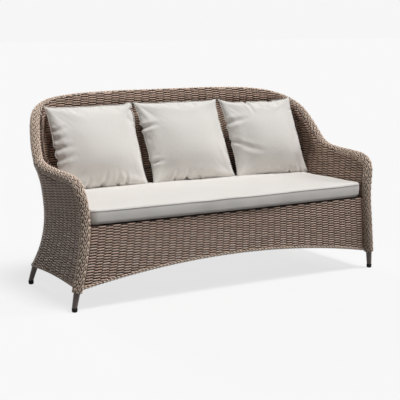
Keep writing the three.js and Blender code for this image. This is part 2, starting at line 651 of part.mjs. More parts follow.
const barTop = railTop - (SEAT_RAIL_SIZE - CROSS_BAR_SIZE) / 2;
for (let i = 0; i < CROSS_BAR_COUNT; i++) {
  const x = ((i + 1) / (CROSS_BAR_COUNT + 1) - 1 / 2) * 2 * rearUprightGap;
  const ends = [
    seatFrontY + SEAT_RAIL_SIZE / 2 + CLEARANCE,
    seatRearY - UPRIGHT_RADIUS - SEAT_RAIL_SIZE / 2 - CLEARANCE,
  ].map((y) => new THREE.Vector3(x, y, barTop - CROSS_BAR_SIZE / 2));
  add(`seat_cross_bar_${i + 1}`, beam(...ends, CROSS_BAR_SIZE, CROSS_BAR_SIZE), "frame");
}

// Outline with rounded corners in plan; the front edge may bow forward
function roundedOutline({ front, rear, frontHalf, rearHalf, frontCorner, rearCorner, bow = 0 }) {
  const arcSteps = 5;
  const edgeSteps = 8;
  const half = [];
  for (let i = 0; i <= edgeSteps; i++) {
    const share = i / edgeSteps;
    const x = share * (frontHalf - frontCorner);
    half.push([x, front - bow * (1 - share ** 2)]);
  }
  const arc = (centreX, centreY, radius, from) => {
    for (let i = 1; i <= arcSteps; i++) {
      const angle = from + ((Math.PI / 2) * i) / arcSteps;
      half.push([centreX + radius * Math.cos(angle), centreY + radius * Math.sin(angle)]);
    }
  };
  arc(frontHalf - frontCorner, front + frontCorner, frontCorner, -Math.PI / 2);
  half.push([(frontHalf + rearHalf) / 2, (front + rear) / 2]);
  half.push([rearHalf, rear - rearCorner]);
  arc(rearHalf - rearCorner, rear - rearCorner, rearCorner, 0);
  const mirrored = half.slice(1).reverse().map(([x, y]) => [-x, y]);
  return [...half, [0, rear], ...mirrored];
}

const deckOutline = roundedOutline({
  front: apronLine(SEAT_HEIGHT) + WEAVE_THICKNESS / 2 + CLEARANCE,
  rear: seatRearY - UPRIGHT_RADIUS + SEAT_RAIL_SIZE / 2,
  frontHalf: frontPostAt(1).x - BORDER_RADIUS - CLEARANCE,
  rearHalf: rearUprightAt(1).x - UPRIGHT_RADIUS,
  frontCorner: SEAT_CUSHION_FRONT_CORNER,
  rearCorner: DECK_CORNER_RADIUS,
});
const deckShape = new THREE.Shape(deckOutline.map(([x, y]) => new THREE.Vector2(x, y)));
const deck = new THREE.ExtrudeGeometry(deckShape, { depth: DECK_THICKNESS, bevelEnabled: false });
deck.translate(0, 0, railTop + CLEARANCE);
add("seat_deck", cutBy(deck, ...uprightCutters, ...backUprightCutters), "weave");

// Seat cushion: crowned top, rounded edges, drawn-in sides and a slightly bowed front
const cushionTop = SEAT_HEIGHT + SEAT_CUSHION_THICKNESS;
const cushionHalf = frontPostAt(1).x - BORDER_RADIUS - SEAT_CUSHION_SIDE_GAP;
const cushionFront = frontLine(SEAT_HEIGHT) + middleShift - SEAT_CUSHION_OVERHANG;
const cushionRear = seatRearY - UPRIGHT_RADIUS - SEAT_CUSHION_SIDE_GAP;
const cushionMiddle = (cushionFront + cushionRear) / 2;
const cushionRearInset = WEAVE_THICKNESS / 2 + SEAT_CUSHION_SIDE_GAP + UPRIGHT_RADIUS;
const cushionOutline = roundedOutline({
  front: cushionFront + SEAT_CUSHION_FRONT_BOW,
  rear: cushionRear,
  frontHalf: cushionHalf,
  rearHalf: bodyPoint(SIDE_END_SHARE, SEAT_HEIGHT, 1, cushionRearInset).x,
  frontCorner: SEAT_CUSHION_FRONT_CORNER,
  rearCorner: SEAT_CUSHION_REAR_CORNER,
  bow: SEAT_CUSHION_FRONT_BOW,
});
const crownAt = (share) => cushionTop + SEAT_CUSHION_CROWN * (1 - share ** 2) ** 2;
const crownShares = [1, 0.75, 0.5, 0.25, 0];
function seatCushion() {
  const edge = SEAT_CUSHION_EDGE;
  const levels = [
    { inset: edge, z: SEAT_HEIGHT },
    { inset: edge / 4, z: SEAT_HEIGHT + edge / 2 },
    { inset: SEAT_CUSHION_DRAW_IN, z: (SEAT_HEIGHT + cushionTop) / 2 },
    { inset: edge / 4, z: cushionTop - edge / 2 },
    { inset: edge, z: cushionTop },
    ...crownShares.slice(1, -1).map((share) => ({ share, z: crownAt(share) })),
  ];
  const rings = levels.map(({ inset = 0, share = 1, z }) =>
    cushionOutline.map(([x, y]) => {
      const shareX = share * (1 - inset / cushionHalf);
      const shareY = share * (1 - inset / (cushionMiddle - cushionFront));
      return new THREE.Vector3(x * shareX, cushionMiddle + (y - cushionMiddle) * shareY, z);
    }),
  );
  const [under, over] = [SEAT_HEIGHT, crownAt(0)].map((z) => new THREE.Vector3(0, cushionMiddle, z));
  return ringSolid(rings, under, over);
}
const seatCushionMesh = add("seat_cushion", seatCushion(), "fabric");

// Scatter cushions: pointed corners, seams that draw in, a full front and a back pressed flatter
function pillow(width) {
  const cells = 12;
  const places = [];
  const sheet = (crown) => {
    for (let i = 0; i <= cells; i++)
      for (let j = 0; j <= cells; j++) {
        const [s, t] = [Math.sin(Math.PI * (i / cells - 1 / 2)), Math.sin(Math.PI * (j / cells - 1 / 2))];
        const halfWidth = width / 2 - PILLOW_EDGE_DIP * (1 - t ** 2);
        const halfHeight = PILLOW_HEIGHT / 2 - PILLOW_EDGE_DIP * (1 - s ** 2);
        const fullness = Math.sqrt((1 - s ** 2) * (1 - t ** 2)) ** (4 / 3);
        places.push(new THREE.Vector3(halfWidth * s, -crown * fullness, halfHeight * t));
      }
  };
  sheet(PILLOW_FRONT_CROWN);
  sheet(-PILLOW_BACK_CROWN);
  const index = [];
  const layer = (cells + 1) ** 2;
  for (let i = 0; i < cells; i++)
    for (let j = 0; j < cells; j++) {
      const [a, b] = [i * (cells + 1) + j, (i + 1) * (cells + 1) + j];
      index.push(a, b, b + 1, a, b + 1, a + 1);
      index.push(layer + a, layer + b + 1, layer + b, layer + a, layer + a + 1, layer + b + 1);
    }
  const geometry = new THREE.BufferGeometry();
  const positions = places.flatMap((p) => p.toArray());
  geometry.setAttribute("position", new THREE.Float32BufferAttribute(positions, 3));
  geometry.setIndex(index);
  return geometry;
}

// How far a solid hangs above the one under it, straight down from its points and straight up to it
function heightOver(upper, lower) {
  const down = new THREE.Vector3(0, 0, -1);
  const up = new THREE.Vector3(0, 0, 1);
  const nearest = (from, to, direction) => {
    const at = from.geometry.getAttribute("position");
    const hits = Array.from({ length: at.count }, (_, k) => {
      const origin = new THREE.Vector3().fromBufferAttribute(at, k);
      return new THREE.Raycaster(origin, direction).intersectObject(to)[0]?.distance ?? Infinity;
    });
    return Math.min(...hits);
  };
  return Math.min(nearest(upper, lower, down), nearest(lower, upper, up));
}

const headHeight = cushionTop + PILLOW_HEIGHT;
const backLean = Math.atan2(backLine(headHeight) - backLine(cushionTop), PILLOW_HEIGHT);
const pillowPlaces = [
  {
    word: "left",
    width: PILLOW_WIDTH,
    x: MIDDLE_PILLOW_SHIFT - LEFT_PILLOW_SPACING,
    headGap: LEFT_PILLOW_HEAD_GAP,
    slump: LEFT_PILLOW_SLUMP,
    lean: LEFT_PILLOW_LEAN,
    turn: LEFT_PILLOW_TURN,
  },
  {
    word: "middle",
    width: PILLOW_WIDTH,
    x: MIDDLE_PILLOW_SHIFT,
    headGap: MIDDLE_PILLOW_HEAD_GAP,
    slump: MIDDLE_PILLOW_SLUMP,
    lean: MIDDLE_PILLOW_LEAN,
    turn: MIDDLE_PILLOW_TURN,
  },
  {
    word: "right",
    width: RIGHT_PILLOW_WIDTH,
    x: MIDDLE_PILLOW_SHIFT + RIGHT_PILLOW_SPACING,
    headGap: RIGHT_PILLOW_HEAD_GAP,
    slump: RIGHT_PILLOW_SLUMP,
    lean: RIGHT_PILLOW_LEAN,
    turn: RIGHT_PILLOW_TURN,
  },
];
pillowPlaces.forEach(({ word, width, x, headGap, slump, lean, turn }) => {
  const geometry = pillow(width);
  const footY = backLine(headHeight) + middleShift - headGap - PILLOW_HEIGHT * Math.sin(backLean + lean);
  geometry.translate(0, 0, PILLOW_HEIGHT / 2);
  geometry.applyMatrix4(new THREE.Matrix4().makeShear(0, 0, 0, 0, -slump / PILLOW_HEIGHT, 0));
  geometry.rotateX(-backLean - lean);
  geometry.rotateZ(turn);
  geometry.translate(x, footY, headHeight);
  const cushion = add(`${word}_back_cushion`, geometry, "fabric");
  geometry.translate(0, 0, CLEARANCE - heightOver(cushion, seatCushionMesh));
});

export default sofa;
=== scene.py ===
"""Three-seat rattan garden sofa: strands woven over stakes on a bent tube frame, a braid round the hoop,
rope hems, a piped seat cushion and three stuffed scatter cushions.

Metres, +Z up, the front towards -Y, +X to the right as seen from the front.
"""

import math
from typing import NamedTuple

import bmesh
import bpy
import numpy as np
from bpy.props import FloatProperty, FloatVectorProperty, IntProperty, PointerProperty
from bpy.types import Operator, Panel, PropertyGroup
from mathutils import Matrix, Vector


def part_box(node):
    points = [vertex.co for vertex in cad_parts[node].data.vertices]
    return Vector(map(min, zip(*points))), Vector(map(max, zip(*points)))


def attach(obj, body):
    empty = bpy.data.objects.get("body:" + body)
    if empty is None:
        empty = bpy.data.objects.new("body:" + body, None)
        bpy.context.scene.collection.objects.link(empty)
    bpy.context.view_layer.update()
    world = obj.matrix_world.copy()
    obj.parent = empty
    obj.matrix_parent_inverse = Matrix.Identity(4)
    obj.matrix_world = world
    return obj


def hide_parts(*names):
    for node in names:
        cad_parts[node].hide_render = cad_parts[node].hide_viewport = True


bl_info = {
    "name": "Rattan garden sofa",
    "version": (1, 0, 0),
    "blender": (4, 5, 0),
    "location": "3D View > Sidebar > Garden sofa",
    "description": "Weaves a garden sofa round its frame and dresses it with cushions",
    "category": "Add Mesh",
}

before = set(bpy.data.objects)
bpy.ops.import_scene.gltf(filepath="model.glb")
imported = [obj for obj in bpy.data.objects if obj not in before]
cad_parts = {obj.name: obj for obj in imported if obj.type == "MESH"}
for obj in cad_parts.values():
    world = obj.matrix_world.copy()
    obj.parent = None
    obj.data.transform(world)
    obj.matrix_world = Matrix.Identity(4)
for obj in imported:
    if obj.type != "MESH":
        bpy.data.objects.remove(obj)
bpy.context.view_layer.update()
SIDES = (("left", -1), ("right", 1))
WOVEN = "Woven strands"
BRAIDED = "Braided strands"
CLOTH = "Cushion cloth"

# Sizes of the body, as in the frame
HALF_WIDTH = 0.808
FRONT_REACH = 0.371
BACK_REACH = 0.326
BACK_HEIGHT = 0.889
SEAT_HEIGHT = 0.38
MIDDLE_SHIFT = 0.0165
RAIL_RADIUS = 0.014
BORDER_OFFSET = 0.012
HEM_HEIGHT = 0.09
HEM_RADIUS = 0.008
HEM_MIDDLE = HEM_HEIGHT + HEM_RADIUS
APRON_SETBACK = 0.008
APRON_INSET = 0.002
FRONT_ARCH_RISE = 0.078
SIDE_ARCH_RISE = 0.014
REAR_ARCH_RISE = 0.07
SEAT_INSET = 0.026
UPRIGHT_INSET = 0.0143
BACK_UPRIGHT_X = 0.25

# Rows of a share of BACK_HEIGHT and a share of the size that each profile follows
FRONT_WIDTH_SHARES = (
    (0.1, 1), (0.277, 0.97), (0.426, 0.954), (0.531, 0.96), (0.596, 0.972), (0.67, 0.978), (1, 0.978),
)
REAR_WIDTH_SHARES = (
    (0.1, 1.006), (0.23, 0.963), (0.382, 0.947), (0.55, 0.958), (0.62, 0.976), (0.67, 0.995), (0.72, 0.991),
    (0.8, 0.973), (0.88, 0.958), (1, 0.955),
)
FRONT_LINE_SHARES = (
    (0.1, 0.962), (0.277, 0.997), (0.426, 1), (0.531, 0.992), (0.596, 0.976), (0.67, 0.965), (1, 0.965),
)
BACK_LINE_SHARES = ((0.1, 0.782), (0.23, 0.736), (0.382, 0.733), (0.589, 0.794), (0.827, 0.905), (1, 1))
CORNER_RADIUS_SHARES = (
    (0.1, 0.276), (0.23, 0.368), (0.382, 0.46), (0.589, 0.491), (0.827, 0.54), (1, 0.6),
)

# Shares of the way around the body, from the front post to the middle of the back
SIDE_END_SHARE = 0.36
UPRIGHT_SHARE = 0.435
CORNER_END_SHARE = 0.55

# The hoop's line: shares of the way around, and shares of BACK_HEIGHT
POST_LINE_SHARES = (
    (0, HEM_HEIGHT / BACK_HEIGHT), (0, 0.12), (0, 0.2), (0, 0.29), (0, 0.38), (0, 0.46), (0, 0.53),
)
ARM_LINE_SHARES = (
    (0, 0.562), (0.002, 0.585), (0.01, 0.613), (0.026, 0.633), (0.05, 0.643), (0.08, 0.648), (0.14, 0.652),
    (0.2, 0.656), (0.264, 0.666), (0.314, 0.692), (0.348, 0.747), (0.378, 0.818), (0.41, 0.885),
    (0.454, 0.935), (0.506, 0.968),
)
BACK_HOOP_SHARES = ((0.56, 0.984), (0.62, 0.992), (0.7, 0.997), (0.8, 1), (0.9, 1), (1, 1))


def lerp(a, b, t):
    return a + (b - a) * t


def unit(v):
    return v / np.maximum(np.linalg.norm(v, axis=-1, keepdims=True), 1e-12)


def smooth_step(t):
    t = np.clip(t, 0, 1)
    return t * t * (3 - 2 * t)


def mirrored(values):
    """The values there and back again, the last one once."""
    return np.concatenate([values, values[::-1][1:]])


def lengths_along(line):
    """The distance along the line at each of its points."""
    return np.r_[0, np.cumsum(np.linalg.norm(np.diff(line, axis=0), axis=1))]


def at_distances(wanted, line):
    """Points at the wanted distances along the line."""
    length = lengths_along(line)
    return np.stack([np.interp(wanted, length, axis) for axis in line.T], -1)


def smooth_through(rows):
    """A smooth function through rows of (x, y)."""
    xs, ys = np.array(rows, float).T
    number = np.arange(len(xs))
    before, after = np.maximum(number - 1, 0), np.minimum(number + 1, len(xs) - 1)
    slopes = (ys[after] - ys[before]) / (xs[after] - xs[before])

    def value(x):
        at = np.clip(x, xs[0], xs[-1])
        i = np.clip(np.searchsorted(xs, at, side="right") - 1, 0, len(xs) - 2)
        span = xs[i + 1] - xs[i]
        t = (at - xs[i]) / span
        return (
            (2 * t**3 - 3 * t**2 + 1) * ys[i]
            + (t**3 - 2 * t**2 + t) * span * slopes[i]
            + (3 * t**2 - 2 * t**3) * ys[i + 1]
            + (t**3 - t**2) * span * slopes[i + 1]
        )

    return value


CURVE_FINENESS = 4


def resampled(points, step):
    """A smooth line through the points, cut into even steps, and the distance along it at each."""
    chord = lengths_along(points)
    fine = np.linspace(0, chord[-1], int(chord[-1] / step * CURVE_FINENESS))
    line = np.stack([smooth_through(list(zip(chord, axis)))(fine) for axis in points.T], -1)
    whole = lengths_along(line)[-1]
    at = np.linspace(0, whole, int(round(whole / step)) + 1)
    return at_distances(at, line), at


front_width_share = smooth_through(FRONT_WIDTH_SHARES)
rear_width_share = smooth_through(REAR_WIDTH_SHARES)
front_line_share = smooth_through(FRONT_LINE_SHARES)
back_line_share = smooth_through(BACK_LINE_SHARES)
corner_radius_share = smooth_through(CORNER_RADIUS_SHARES)
rim_share = smooth_through(ARM_LINE_SHARES + BACK_HOOP_SHARES)


def front_half_width(z):
    return HALF_WIDTH * front_width_share(z / BACK_HEIGHT)


def rim_height(around):
    """Height of the hoop's middle line."""
    return BACK_HEIGHT * rim_share(around)


def body_point(around, z, side, inward=0.0):
    """Places on the woven body, and the outward directions there in plan. around runs from 0 at the front
    post, round the rear corner, to 1 at the middle of the back; inward moves the places towards the seat."""
    around, z, inward = np.broadcast_arrays(around, z, inward)
    share = z / BACK_HEIGHT
    rear_half = HALF_WIDTH * rear_width_share(share)
    radius = BACK_REACH * corner_radius_share(share)
    back = BACK_REACH * back_line_share(share)
    straight_end = back - radius
    on_side, on_back = around <= SIDE_END_SHARE, around > CORNER_END_SHARE
    t_side = around / SIDE_END_SHARE
    t_back = (around - CORNER_END_SHARE) / (1 - CORNER_END_SHARE)
    corner_share = (around - SIDE_END_SHARE) / (CORNER_END_SHARE - SIDE_END_SHARE)
    turn = np.clip(corner_share, 0, 1) * math.pi / 2
    out_x, out_y = np.cos(turn), np.sin(turn)
    x = rear_half - radius + radius * out_x
    y = straight_end + radius * out_y
    x = np.where(on_side, lerp(front_half_width(z), rear_half, t_side), x)
    y = np.where(on_side, lerp(-FRONT_REACH * front_line_share(share), straight_end, t_side), y)
    x = np.where(on_back, (rear_half - radius) * (1 - t_back), x)
    y = np.where(on_back, back, y)
    places = np.stack([side * (x - inward * out_x), y - inward * out_y + MIDDLE_SHIFT, z], -1)
    return places, np.stack([side * out_x, out_y, np.zeros_like(out_x)], -1)


def round_the_back(around):
    """Shares of the way around on the left, then back from the middle on the right, and their sides."""
    return mirrored(around), np.where(np.arange(2 * len(around) - 1) < len(around), -1, 1)


def side_hem(around):
    return HEM_MIDDLE + SIDE_ARCH_RISE * np.sin(math.pi * around / UPRIGHT_SHARE)


def rear_hem(around):
    return HEM_MIDDLE + REAR_ARCH_RISE * (1 - ((1 - around) / (1 - UPRIGHT_SHARE)) ** 2)


def front_hem(x):
    return HEM_MIDDLE + FRONT_ARCH_RISE * (1 - (x / HALF_WIDTH) ** 2)


def apron_y(z):
    return -FRONT_REACH * front_line_share(z / BACK_HEIGHT) + APRON_SETBACK + MIDDLE_SHIFT


def carried_directions(line):
    """Two directions square to the line and to each other, carried along it without twisting."""
    tangent = unit(np.gradient(line, axis=0))
    normals = [unit(np.cross(tangent[0], [1.0, 0.0, 0.0]))]
    for t in tangent[1:]:
        normals.append(unit(normals[-1] - t * (normals[-1] @ t)))
    normals = np.array(normals)
    return normals, np.cross(tangent, normals)


def turned_out(normals, besides, angle):
    return normals * np.cos(angle)[:, None] + besides * np.sin(angle)[:, None]


def ring_faces(first, count, sides):
    """The numbers of the points in count rings, and the four-sided faces between the rings."""
    at = first + np.arange(count * sides).reshape(count, sides)
    beside = np.roll(at, -1, axis=1)
    return at, np.stack([at[:-1], beside[:-1], beside[1:], at[1:]], -1).reshape(-1, 4)


GRAIN_SHIFT = 40


class Strands:
    """Gathers closed oval tubes in one mesh, each with its tone, grain map and a value for painted shade."""

    def __init__(self, seed):
        self.rng = np.random.default_rng(seed)
        self.co, self.quads, self.caps = [], [], []
        self.exposure, self.tone, self.grain = [], [], []
        self.count = 0

    def add(self, line, outward, across, depth, sides=8, lift=0.0, tone=None):
        """A tube along line. outward is the direction in which its section is depth deep, lift how far it
        lies out (1) or in (-1) of its panel and sets its painted shade, tone its own tone from 0 to 1."""
        count = len(line)
        tangent = unit(np.gradient(line, axis=0))
        beside = unit(np.cross(tangent, outward))
        normal = np.cross(beside, tangent)
        angle = 2 * np.pi * np.arange(sides) / sides
        across, depth, lift = (np.broadcast_to(value, count)[:, None] for value in (across, depth, lift))
        ring = (
            line[:, None]
            + beside[:, None] * (np.cos(angle) * across)[:, :, None]
            + normal[:, None] * (np.sin(angle) * depth)[:, :, None]
        )
        at, quads = ring_faces(self.count, count, sides)
        self.co.append(ring.reshape(-1, 3))
        self.quads.append(quads)
        self.caps += [at[0][::-1].tolist(), at[-1].tolist()]
        # Painted shade: the side that lift turns in gets a low value here, which the strand material
        # darkens.
        self.exposure.append((0.5 + 0.5 * np.sin(angle) * lift).ravel())
        tone = self.rng.random() if tone is None else tone
        self.tone.append(np.full(count * sides, tone))
        u = np.repeat(lengths_along(line), sides) + self.rng.random() * GRAIN_SHIFT
        v = np.tile(np.arange(sides) / sides, count)
        self.grain.append(np.stack([u, v, np.zeros_like(u)], -1))
        self.count += count * sides

    def make(self, name, material):
        mesh = bpy.data.meshes.new(name)
        quads = np.concatenate(self.quads)
        cap_starts = np.cumsum([quads.size] + [len(cap) for cap in self.caps[:-1]])
        starts = np.r_[np.arange(len(quads)) * 4, cap_starts]
        corners = np.concatenate([quads.ravel(), *self.caps])
        mesh.vertices.add(self.count)
        mesh.vertices.foreach_set("co", np.concatenate(self.co).astype(np.float32).ravel())
        mesh.loops.add(len(corners))
        mesh.loops.foreach_set("vertex_index", corners.astype(np.int32))
        mesh.polygons.add(len(starts))
        mesh.polygons.foreach_set("loop_start", starts.astype(np.int32))
        mesh.update(calc_edges=True)
        mesh.validate()
        for name_of, kind, values, part in (
            ("exposure", "FLOAT", self.exposure, "value"),
            ("tone", "FLOAT", self.tone, "value"),
            ("grain", "FLOAT_VECTOR", self.grain, "vector"),
        ):
            layer = mesh.attributes.new(name_of, kind, "POINT")
            layer.data.foreach_set(part, np.concatenate(values).astype(np.float32).ravel())
        return placed(name, mesh, bpy.data.materials[material])


def placed(name, mesh, material=None):
    """An object of the mesh, smooth and with its material."""
    mesh.polygons.foreach_set("use_smooth", np.ones(len(mesh.polygons), bool))
    mesh.materials.append(material)
    ob = bpy.data.objects.new(name, mesh)
    bpy.context.scene.collection.objects.link(ob)
    return ob


def from_points(name, co, faces, material=None):
    mesh = bpy.data.meshes.new(name)
    mesh.from_pydata(co.tolist(), [], faces)
    return placed(name, mesh, material)


def carried(ob, body, slot, *nodes):
    """The piece rides on its body and stands for the nodes, if there are any; slot is not used."""
    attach(ob, body)
    if nodes:
        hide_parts(*nodes)
    return ob


class Nodes:
    """A short way to build the nodes of a material or a world."""

    def __init__(self, owner):
        owner.use_nodes = True
        self.owner = owner
        self.tree = owner.node_tree

    def feed(self, socket, value):
        if isinstance(value, bpy.types.NodeSocket):
            self.tree.links.new(value, socket)
        else:
            socket.default_value = value

    def new(self, kind, inputs=None, **settings):
        node = self.tree.nodes.new(kind)
        for key, value in settings.items():
            setattr(node, key, value)
        for key, value in (inputs or {}).items():
            self.feed(node.inputs[key], value)
        return node

    def finish(self, **values):
        """The material, with the values on the sockets of its shader."""
        for key, value in values.items():
            self.feed(self.tree.nodes["Principled BSDF"].inputs[key.replace("_", " ")], value)
        return self.owner

    def place(self):
        return self.new("ShaderNodeTexCoord").outputs["Object"]

    def attribute(self, name, output="Fac"):
        return self.new("ShaderNodeAttribute", attribute_name=name).outputs[output]

    def spread(self, value, low, high):
        """A value from 0 to 1 spread between low and high."""
        node = self.new("ShaderNodeMapRange", {"Value": value, "To Min": low, "To Max": high})
        return node.outputs["Result"]

    def maths(self, operation, a, b):
        return self.new("ShaderNodeMath", {0: a, 1: b}, operation=operation).outputs[0]

    def seen(self):
        """1 where the camera sees it, directly or in a gloss or through glass, else 0."""
        path = self.new("ShaderNodeLightPath").outputs
        seen = self.maths("MAXIMUM", path["Is Camera Ray"], path["Is Glossy Ray"])
        return self.maths("MAXIMUM", seen, path["Is Transmission Ray"])

    def mix(self, share, a, b, kind="MIX"):
        settings = {"data_type": "RGBA", "blend_type": kind}
        return self.new("ShaderNodeMix", {0: share, 6: a, 7: b}, **settings).outputs[2]

    def noise(self, vector, scale, detail, roughness=0.5):
        inputs = {"Vector": vector, "Scale": scale, "Detail": detail, "Roughness": roughness}
        return self.new("ShaderNodeTexNoise", inputs).outputs["Fac"]

    def scaled(self, vector, scale):
        return self.new("ShaderNodeMapping", {"Vector": vector, "Scale": scale}).outputs["Vector"]

    def bump(self, height, strength, distance):
        inputs = {"Height": height, "Strength": strength, "Distance": distance}
        return self.new("ShaderNodeBump", inputs)


def rgba(colour):
    return (*colour, 1.0)


def shaded(colour, factor):
    return rgba([min(c * factor, 1.0) for c in colour])


def strand_material(name, colour, hidden_share, dip, roughness):
    """Round synthetic strands: own tones, streaks along them, and painted shade where they dip in."""
    n = Nodes(bpy.data.materials.new(name))
    grain = n.attribute("grain", "Vector")
    streaks = n.noise(n.scaled(grain, (14.0, 9.0, 1.0)), scale=3.0, detail=4.0, roughness=0.6)
    mottling = n.noise(n.scaled(grain, (22.0, 0.6, 1.0)), scale=1.0, detail=2.0)
    dark, light, streak = (shaded(colour, factor) for factor in (0.8, 1.2, 0.62))
    straw = shaded(np.multiply(colour, (1, 0.97, 0.9)), 1.25)
    own = n.mix(n.attribute("tone"), dark, light)
    streaked = n.mix(n.spread(streaks, low=0.0, high=0.55), own, streak)
    mottled = n.mix(n.spread(mottling, low=-0.15, high=0.55), streaked, straw)
    # Painted shade: each strand is darkened where it faces into the weave or dips behind, down to
    # hidden_share of its colour.
    seen_of = {"Value": n.attribute("exposure"), "From Min": dip[0], "From Max": dip[1]}
    curve = n.new("ShaderNodeMapRange", seen_of, interpolation_type="SMOOTHSTEP").outputs["Result"]
    painted_shade_factor = n.spread(curve, hidden_share, 1.0)
    painted_shade = n.new("ShaderNodeCombineColor", {0: painted_shade_factor, 1: painted_shade_factor, 2: painted_shade_factor}).outputs[0]
    return n.finish(
        Base_Color=n.mix(1.0, mottled, painted_shade, "MULTIPLY"),
        Roughness=n.spread(streaks, roughness - 0.08, roughness + 0.12),
        Specular_IOR_Level=0.25,
        Normal=n.bump(streaks, strength=0.25, distance=0.0006).outputs["Normal"],
    )


def tube_material(name, colour, roughness):
    """Powder-coated metal: even colour with a fine orange peel and faint scuffs."""
    n = Nodes(bpy.data.materials.new(name))
    place = n.place()
    scuffs = n.noise(place, scale=26.0, detail=4.0, roughness=0.6)
    peel = n.noise(place, scale=1400.0, detail=2.0)
    dark, light = shaded(colour, 0.85), shaded(colour, 1.18)
    return n.finish(
        Base_Color=n.mix(scuffs, dark, light),
        Roughness=n.spread(scuffs, roughness - 0.08, roughness + 0.12),
        Normal=n.bump(peel, strength=0.12, distance=0.0002).outputs["Normal"],
    )


WAVE_TO_THREAD = 0.314


def fabric_material(name, colour, thread):
    """Plain outdoor cloth: crossed threads with painted shade between them, a few slubs and a soft sheen."""
    n = Nodes(bpy.data.materials.new(name))
    place = n.place()
    threads = 1.0
    for axis in ("X", "Y", "Z"):
        inputs = {"Vector": place, "Scale": WAVE_TO_THREAD / thread, "Distortion": 0.6, "Detail": 1.0}
        wave = n.new("ShaderNodeTexWave", inputs, bands_direction=axis).outputs["Fac"]
        threads = n.maths("MULTIPLY", threads, wave)
    slubs = n.noise(place, scale=420.0, detail=3.0, roughness=0.7)
    clouds = n.noise(place, scale=5.0, detail=2.0)
    dark, light, fleck, thread_shade = (shaded(colour, factor) for factor in (0.97, 1.02, 0.86, 0.72))
    flecked = n.mix(n.spread(slubs, low=-0.05, high=0.22), n.mix(clouds, dark, light), fleck)
    relief = n.bump(slubs, strength=0.08, distance=0.0003)
    n.feed(relief.inputs["Normal"], n.bump(threads, strength=0.22, distance=0.0005).outputs["Normal"])
    return n.finish(
        # Painted shade between the threads, where the thread pattern is low.
        Base_Color=n.mix(n.spread(threads, low=0.16, high=0.0), flecked, thread_shade),
        Roughness=0.93,
        Sheen_Weight=0.25,
        Sheen_Roughness=0.5,
        Normal=relief.outputs["Normal"],
    )


def rubber_material(name, colour):
    """Black moulded rubber with a fine grit."""
    n = Nodes(bpy.data.materials.new(name))
    grit = n.noise(n.place(), scale=700.0, detail=3.0)
    dark, light = shaded(colour, 0.8), shaded(colour, 1.3)
    return n.finish(
        Base_Color=n.mix(grit, dark, light),
        Roughness=n.spread(grit, low=0.5, high=0.7),
        Specular_IOR_Level=0.15,
        Normal=n.bump(grit, strength=0.2, distance=0.0003).outputs["Normal"],
    )


def floor_material(name, stage):
    """A pale floor that keeps the sofa's shadow."""
    n = Nodes(bpy.data.materials.new(name))
    seen = n.seen()
    bounce = rgba([stage.floor_bounce] * 3)
    n.finish(
        Base_Color=n.mix(seen, bounce, rgba(stage.backdrop)),
        Roughness=1.0,
        Specular_IOR_Level=0.0,
    )
    glow = n.new("ShaderNodeEmission", {"Color": rgba(stage.backdrop), "Strength": 1.0}).outputs[0]
    share = n.maths("MULTIPLY", seen, 1 - stage.shadow_share)
    shader = n.tree.nodes["Principled BSDF"].outputs[0]
    mixed = n.new("ShaderNodeMixShader", {0: share, 1: shader, 2: glow}).outputs[0]
    n.feed(n.tree.nodes["Material Output"].inputs["Surface"], mixed)
    return n.owner


def a_length(name, description, default, least, most):
    return FloatProperty(
        name=name, description=description, default=default, min=least, max=most, unit="LENGTH",
    )


def a_number(name, description, default, most=1.0):
    return FloatProperty(name=name, description=description, default=default, min=0.0, max=most)


def a_colour(name, description, default):
    return FloatVectorProperty(
        name=name, description=description, default=default, min=0.0, max=1.0, subtype="COLOR",
    )


def a_direction(name, description, default):
    return FloatVectorProperty(name=name, description=description, default=default, subtype="DIRECTION")


class SofaWeave(PropertyGroup):
    row_pitch: a_length("Row pitch", "Height from one row of strands to the next", 0.0058, 0.004, 0.012)
    row_spread: a_length("Row spread", "How much wider the apron's rows lie at its ends", 0.0005, 0, 0.002)
    apron_stake_pitch: a_length("Apron stake pitch", "Distance between apron stakes", 0.0375, 0.02, 0.08)
    side_stake_pitch: a_length("Side stake pitch", "Distance between the sides' stakes", 0.048, 0.02, 0.08)
    back_stake_pitch: a_length("Back stake pitch", "Distance between the back's stakes", 0.045, 0.02, 0.08)
    strand_share: a_number("Strand height", "Half a strand's height, as a share of the row pitch", 0.56)
    strand_depth: a_length("Strand depth", "Half the depth of a strand's section", 0.0023, 0.001, 0.005)
    swing: a_length("Swing", "How far a strand passes in and out of the stakes", 0.0032, 0.001, 0.008)
    stake_radius: a_length("Stake radius", "Radius of the upright stakes", 0.0021, 0.001, 0.004)
    colour: a_colour("Weave colour", "Colour of the woven strands", (0.6, 0.43, 0.345))


class SofaBraid(PropertyGroup):
    strands: IntProperty(
        name="Braid strands", description="Strands each way round the hoop", default=7, min=3, max=10,
    )
    hole_pitch: a_length("Hole pitch", "Distance between crossings along the hoop", 0.032, 0.01, 0.06)
    reed_radius: a_length("Reed radius", "Radius of one of a strand's two reeds", 0.0029, 0.001, 0.005)
    swing: a_length("Braid swing", "How far a braid strand passes over and under", 0.0022, 0.0005, 0.005)
    rope_pitch: a_length("Rope pitch", "Length of one turn of the hem's rope", 0.036, 0.01, 0.08)
    colour: a_colour("Braid colour", "Colour of the braid and the hems", (0.86, 0.665, 0.55))


class SofaCushions(PropertyGroup):
    piping_radius: a_length("Piping radius", "Radius of the seat cushion's piping", 0.0014, 0.0005, 0.006)
    pillow_seam: a_length("Pillow seam", "Radius of a scatter cushion's sewn edge", 0.0018, 0.0005, 0.005)
    thread: a_length("Thread", "Distance between the cloth's threads", 0.0012, 0.0003, 0.005)
    colour: a_colour("Cloth colour", "Colour of the cushion cloth", (0.81, 0.78, 0.74))


